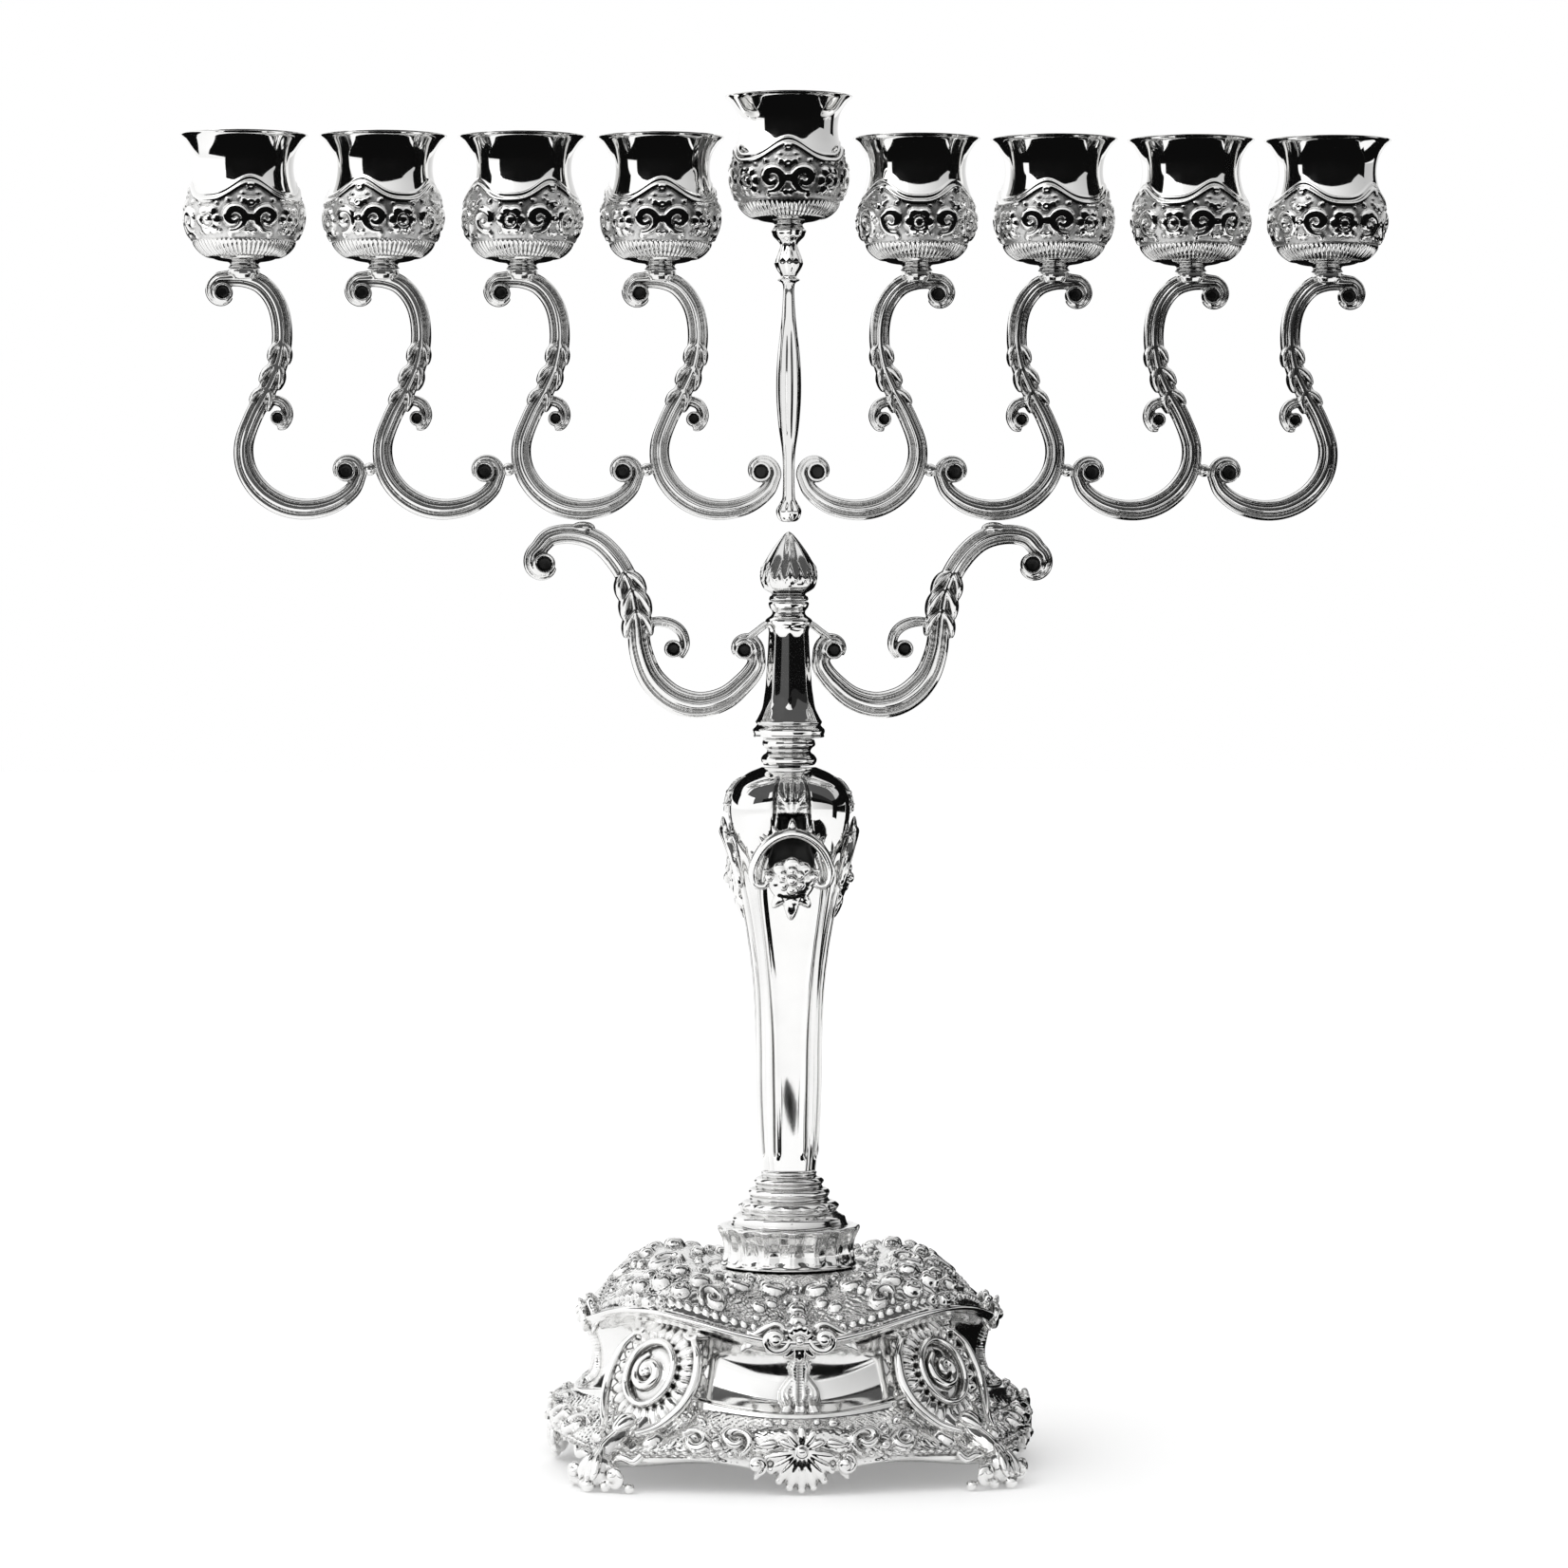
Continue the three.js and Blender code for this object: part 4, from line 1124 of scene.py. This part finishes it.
def threaded_rod(node, pitch, threaded=1.0):
    """A rod with chamfered ends and a real helical thread, from its foot up a share of its length."""
    low, high = box_mm(node)
    radius, length = (high[1] - low[1]) / 2, high[2] - low[2]
    z = np.arange(0.0, length + 1e-6, pitch / 10)[:, None]
    turn = round_turn(32)
    phase = np.mod(z / pitch - turn / FULL, 1)
    depth = THREAD_DEPTH * pitch * np.clip(1.25 * np.abs(2 * phase - 1), 0, 1)
    depth = depth * ((z > 0) & (z < threaded * length))
    chamfer = 0.5 * pitch * np.clip(1 - np.minimum(z, length - z) / pitch, 0, 1)
    return Shape().add_rings(around(radius - np.maximum(depth, chamfer), turn, z)).mesh(f"{node}_threaded")


def make_rod(node, mesh):
    piece(f"{node}_threaded", mesh, node, steel, 0, foot_of(node))


def make_washer():
    low, high = box_mm("base_washer")
    outer, base, top = (high[0] - low[0]) / 2, low[2], high[2]
    face = outer - WASHER_BEVEL
    profile = np.array([(FIXING_BORE, base), (face, base), (outer, base + WASHER_BEVEL),
                        (outer, top - WASHER_BEVEL), (face, top), (FIXING_BORE, top)])
    rings = around(profile[:, :1], round_turn(64), profile[:, 1:])
    piece("base_washer_turned", Shape().add_rings(rings, True).mesh("washer"), "base_washer", steel)


def make_nut():
    low, high = box_mm("base_nut")
    base, top = low[2], high[2]
    turn = (np.arange(96) + 0.5) * FULL / 96
    hexagon = np.minimum(NUT_FLAT / np.cos(np.mod(turn, math.pi / 3) - math.pi / 6), NUT_CORNER)
    end = np.minimum(hexagon, NUT_CORNER - NUT_TRIM)
    outline = [(end, base), (hexagon, base + NUT_BEVEL), (hexagon, top - NUT_BEVEL), (end, top),
               (FIXING_BORE, top), (FIXING_BORE, base)]
    rings = np.stack([around(radius, turn, z) for radius, z in outline])
    piece("base_nut_hexagon", Shape().add_rings(rings, True).mesh("nut"), "base_nut", steel)


def make_fixings():
    make_rod("branch_stud", threaded_rod("branch_stud", M8_PITCH))
    make_rod("tie_rod", threaded_rod("tie_rod", M6_PITCH, TIE_ROD_THREAD))
    cup_studs = sorted(node for node in frame["nodes"] if node.startswith("cup_stud_"))
    shared = threaded_rod(cup_studs[0], M4_PITCH)
    for node in cup_studs:
        make_rod(node, shared)
    make_washer()
    make_nut()


# ---------- studio ----------
def panel(name, corners, material, seen_by_camera=False):
    """A flat panel of the studio; flags and cards, hidden from the camera, show only in the silver."""
    mesh = bpy.data.meshes.new(name)
    mesh.from_pydata([[v * MM for v in corner] for corner in corners], [], [range(len(corners))])
    mesh.materials.append(material)
    obj = bpy.data.objects.new(name, mesh)
    bpy.context.scene.collection.objects.link(obj)
    obj.visible_camera = seen_by_camera
    if not seen_by_camera:
        obj.visible_shadow = False
        obj.visible_diffuse = False


def glowing(name, strength):
    material = bpy.data.materials.new(name)
    material.use_nodes = True
    tree = material.node_tree
    tree.nodes.remove(tree.nodes["Principled BSDF"])
    light = tree.nodes.new("ShaderNodeEmission")
    light.inputs["Strength"].default_value = strength
    tree.links.new(light.outputs["Emission"], tree.nodes["Material Output"].inputs["Surface"])
    return material


def upright(x0, y0, x1, y1, low, high):
    return [(x0, y0, low), (x1, y1, low), (x1, y1, high), (x0, y0, high)]


def level(x0, y0, x1, y1, z):
    return [(x0, y0, z), (x1, y0, z), (x1, y1, z), (x0, y1, z)]


def leaf_outline(x, y, z, wide, tall, lean):
    """An upright leaf, pointed at both ends, its top leaning along X."""
    return [(x + wide * math.sin(t) ** 3 + lean * tall * math.cos(t), y, z + tall * math.cos(t))
            for t in round_turn(24)]


FLOOR_HALF = 9000
FLOOR_GLOW = 0.16  # hides the floor's far edge against the white behind it


def make_floor():
    floor, _, inputs = new_material("floor_white", 0.0)
    inputs["Base Color"].default_value = grey(0.93)
    inputs["Roughness"].default_value = 0.6
    inputs["Specular IOR Level"].default_value = 0.0
    inputs["Emission Color"].default_value = grey(1.0)
    inputs["Emission Strength"].default_value = FLOOR_GLOW
    panel("floor", level(-FLOOR_HALF, -FLOOR_HALF, FLOOR_HALF, FLOOR_HALF, 0), floor, True)


def make_flags():
    """Dark panels and one white card round the object, which give the polished silver its contrast."""
    black, dark, dim = glowing("black_flag", 0.004), glowing("dark_flag", 0.02), glowing("grey_flag", 0.09)
    left, right, side, front, near = -321, 640, 580, -179, -21
    arms, cups, top = 262, 386, 540
    for name, corners, material in (
        ("flag_cups", upright(left, front, right, front, cups, top), black),
        ("flag_below_cups", level(left, front, right, near, cups), black),
        ("flag_above_arms", level(left, front, right, near, cups - 1), dim),
        ("flag_arms_left", upright(left, front, -80, front, arms, cups), dim),
        ("flag_arms_right", upright(50, front, right, front, arms, cups), dark),
        ("flag_block", upright(-138, front + 2, right, front + 2, arms, 306), black),
        ("card_spindle", upright(-16, -13, 16, -13, 301, 371), glowing("white_card", 0.95)),
        ("flag_right", upright(right, front, side, near, 90, top), black),
        ("flag_stripe", upright(420, 160, 380, 260, 260, top), black),
        ("flag_arms_corner", upright(side, near, 420, 130, 232, cups), black),
        ("flag_knop_right", upright(side, near, 470, 290, 172, 232), black),
        ("flag_back_right", upright(90, 400, 460, 300, 30, 330), black),
        ("flag_back_left", upright(-330, 420, -190, 460, 90, 260), dark),
        ("flag_behind_arms", upright(-420, 130, 420, 130, 232, cups), black),
        ("flag_floor_near", level(-130, -100, 170, -235, 1), black),
        ("flag_floor_right", level(80, -235, 500, -600, 1), black),
        ("flag_floor_back", level(80, -60, 560, 450, 1), black),
        ("flag_lens", leaf_outline(4.8, -100, 98.5, wide=2.1, tall=13.5, lean=-0.1), black),
    ):
        panel(name, corners, material)


SKY_LEFT, SKY_RIGHT = 1.15, 0.55


def make_surround():
    """A soft white surround, brighter on the left, and pure white where the camera sees it."""
    world = bpy.data.worlds.new("studio")
    world.use_nodes = True
    tree = world.node_tree
    path = tree.nodes.new("ShaderNodeLightPath")
    place = tree.nodes.new("ShaderNodeTexCoord")
    axes = tree.nodes.new("ShaderNodeSeparateXYZ")
    tree.links.new(place.outputs["Generated"], axes.inputs["Vector"])
    sides = ramp(tree, axes.outputs["X"], -0.5, 1.0, grey(SKY_LEFT), grey(SKY_RIGHT))
    seen = mix_colours(tree, path.outputs["Is Camera Ray"], sides, grey(1.0))
    tree.links.new(seen, tree.nodes["Background"].inputs["Color"])
    bpy.context.scene.world = world


def aimed(name, data, place, target):
    """A lamp or a camera that stands at a place and looks at a target."""
    obj = bpy.data.objects.new(name, data)
    obj.location = place
    obj.rotation_euler = (mathutils.Vector(target) - obj.location).to_track_quat("-Z", "Y").to_euler()
    bpy.context.scene.collection.objects.link(obj)
    return obj


def make_lamp():
    key = bpy.data.lights.new("key", "AREA")
    key.energy = 5.0
    key.size = 1.2
    aimed("key", key, (-1.1, -0.9, 1.5), (0, 0, 0.2))


def make_camera():
    lens = bpy.data.cameras.new("camera")
    lens.sensor_width = 36.0
    lens.lens = 116.0
    lens.clip_end = 30.0
    bpy.context.scene.camera = aimed("camera", lens, (-0.084, -1.598, 0.257), (-0.0015, 0, 0.214))
    bpy.context.scene.view_settings.view_transform = "Standard"


make_cups()
make_row_arms()
make_lower_arms()
make_turned()
make_baluster()
make_base()
make_cast_ornament()
make_fixings()
make_floor()
make_flags()
make_surround()
make_lamp()
make_camera()
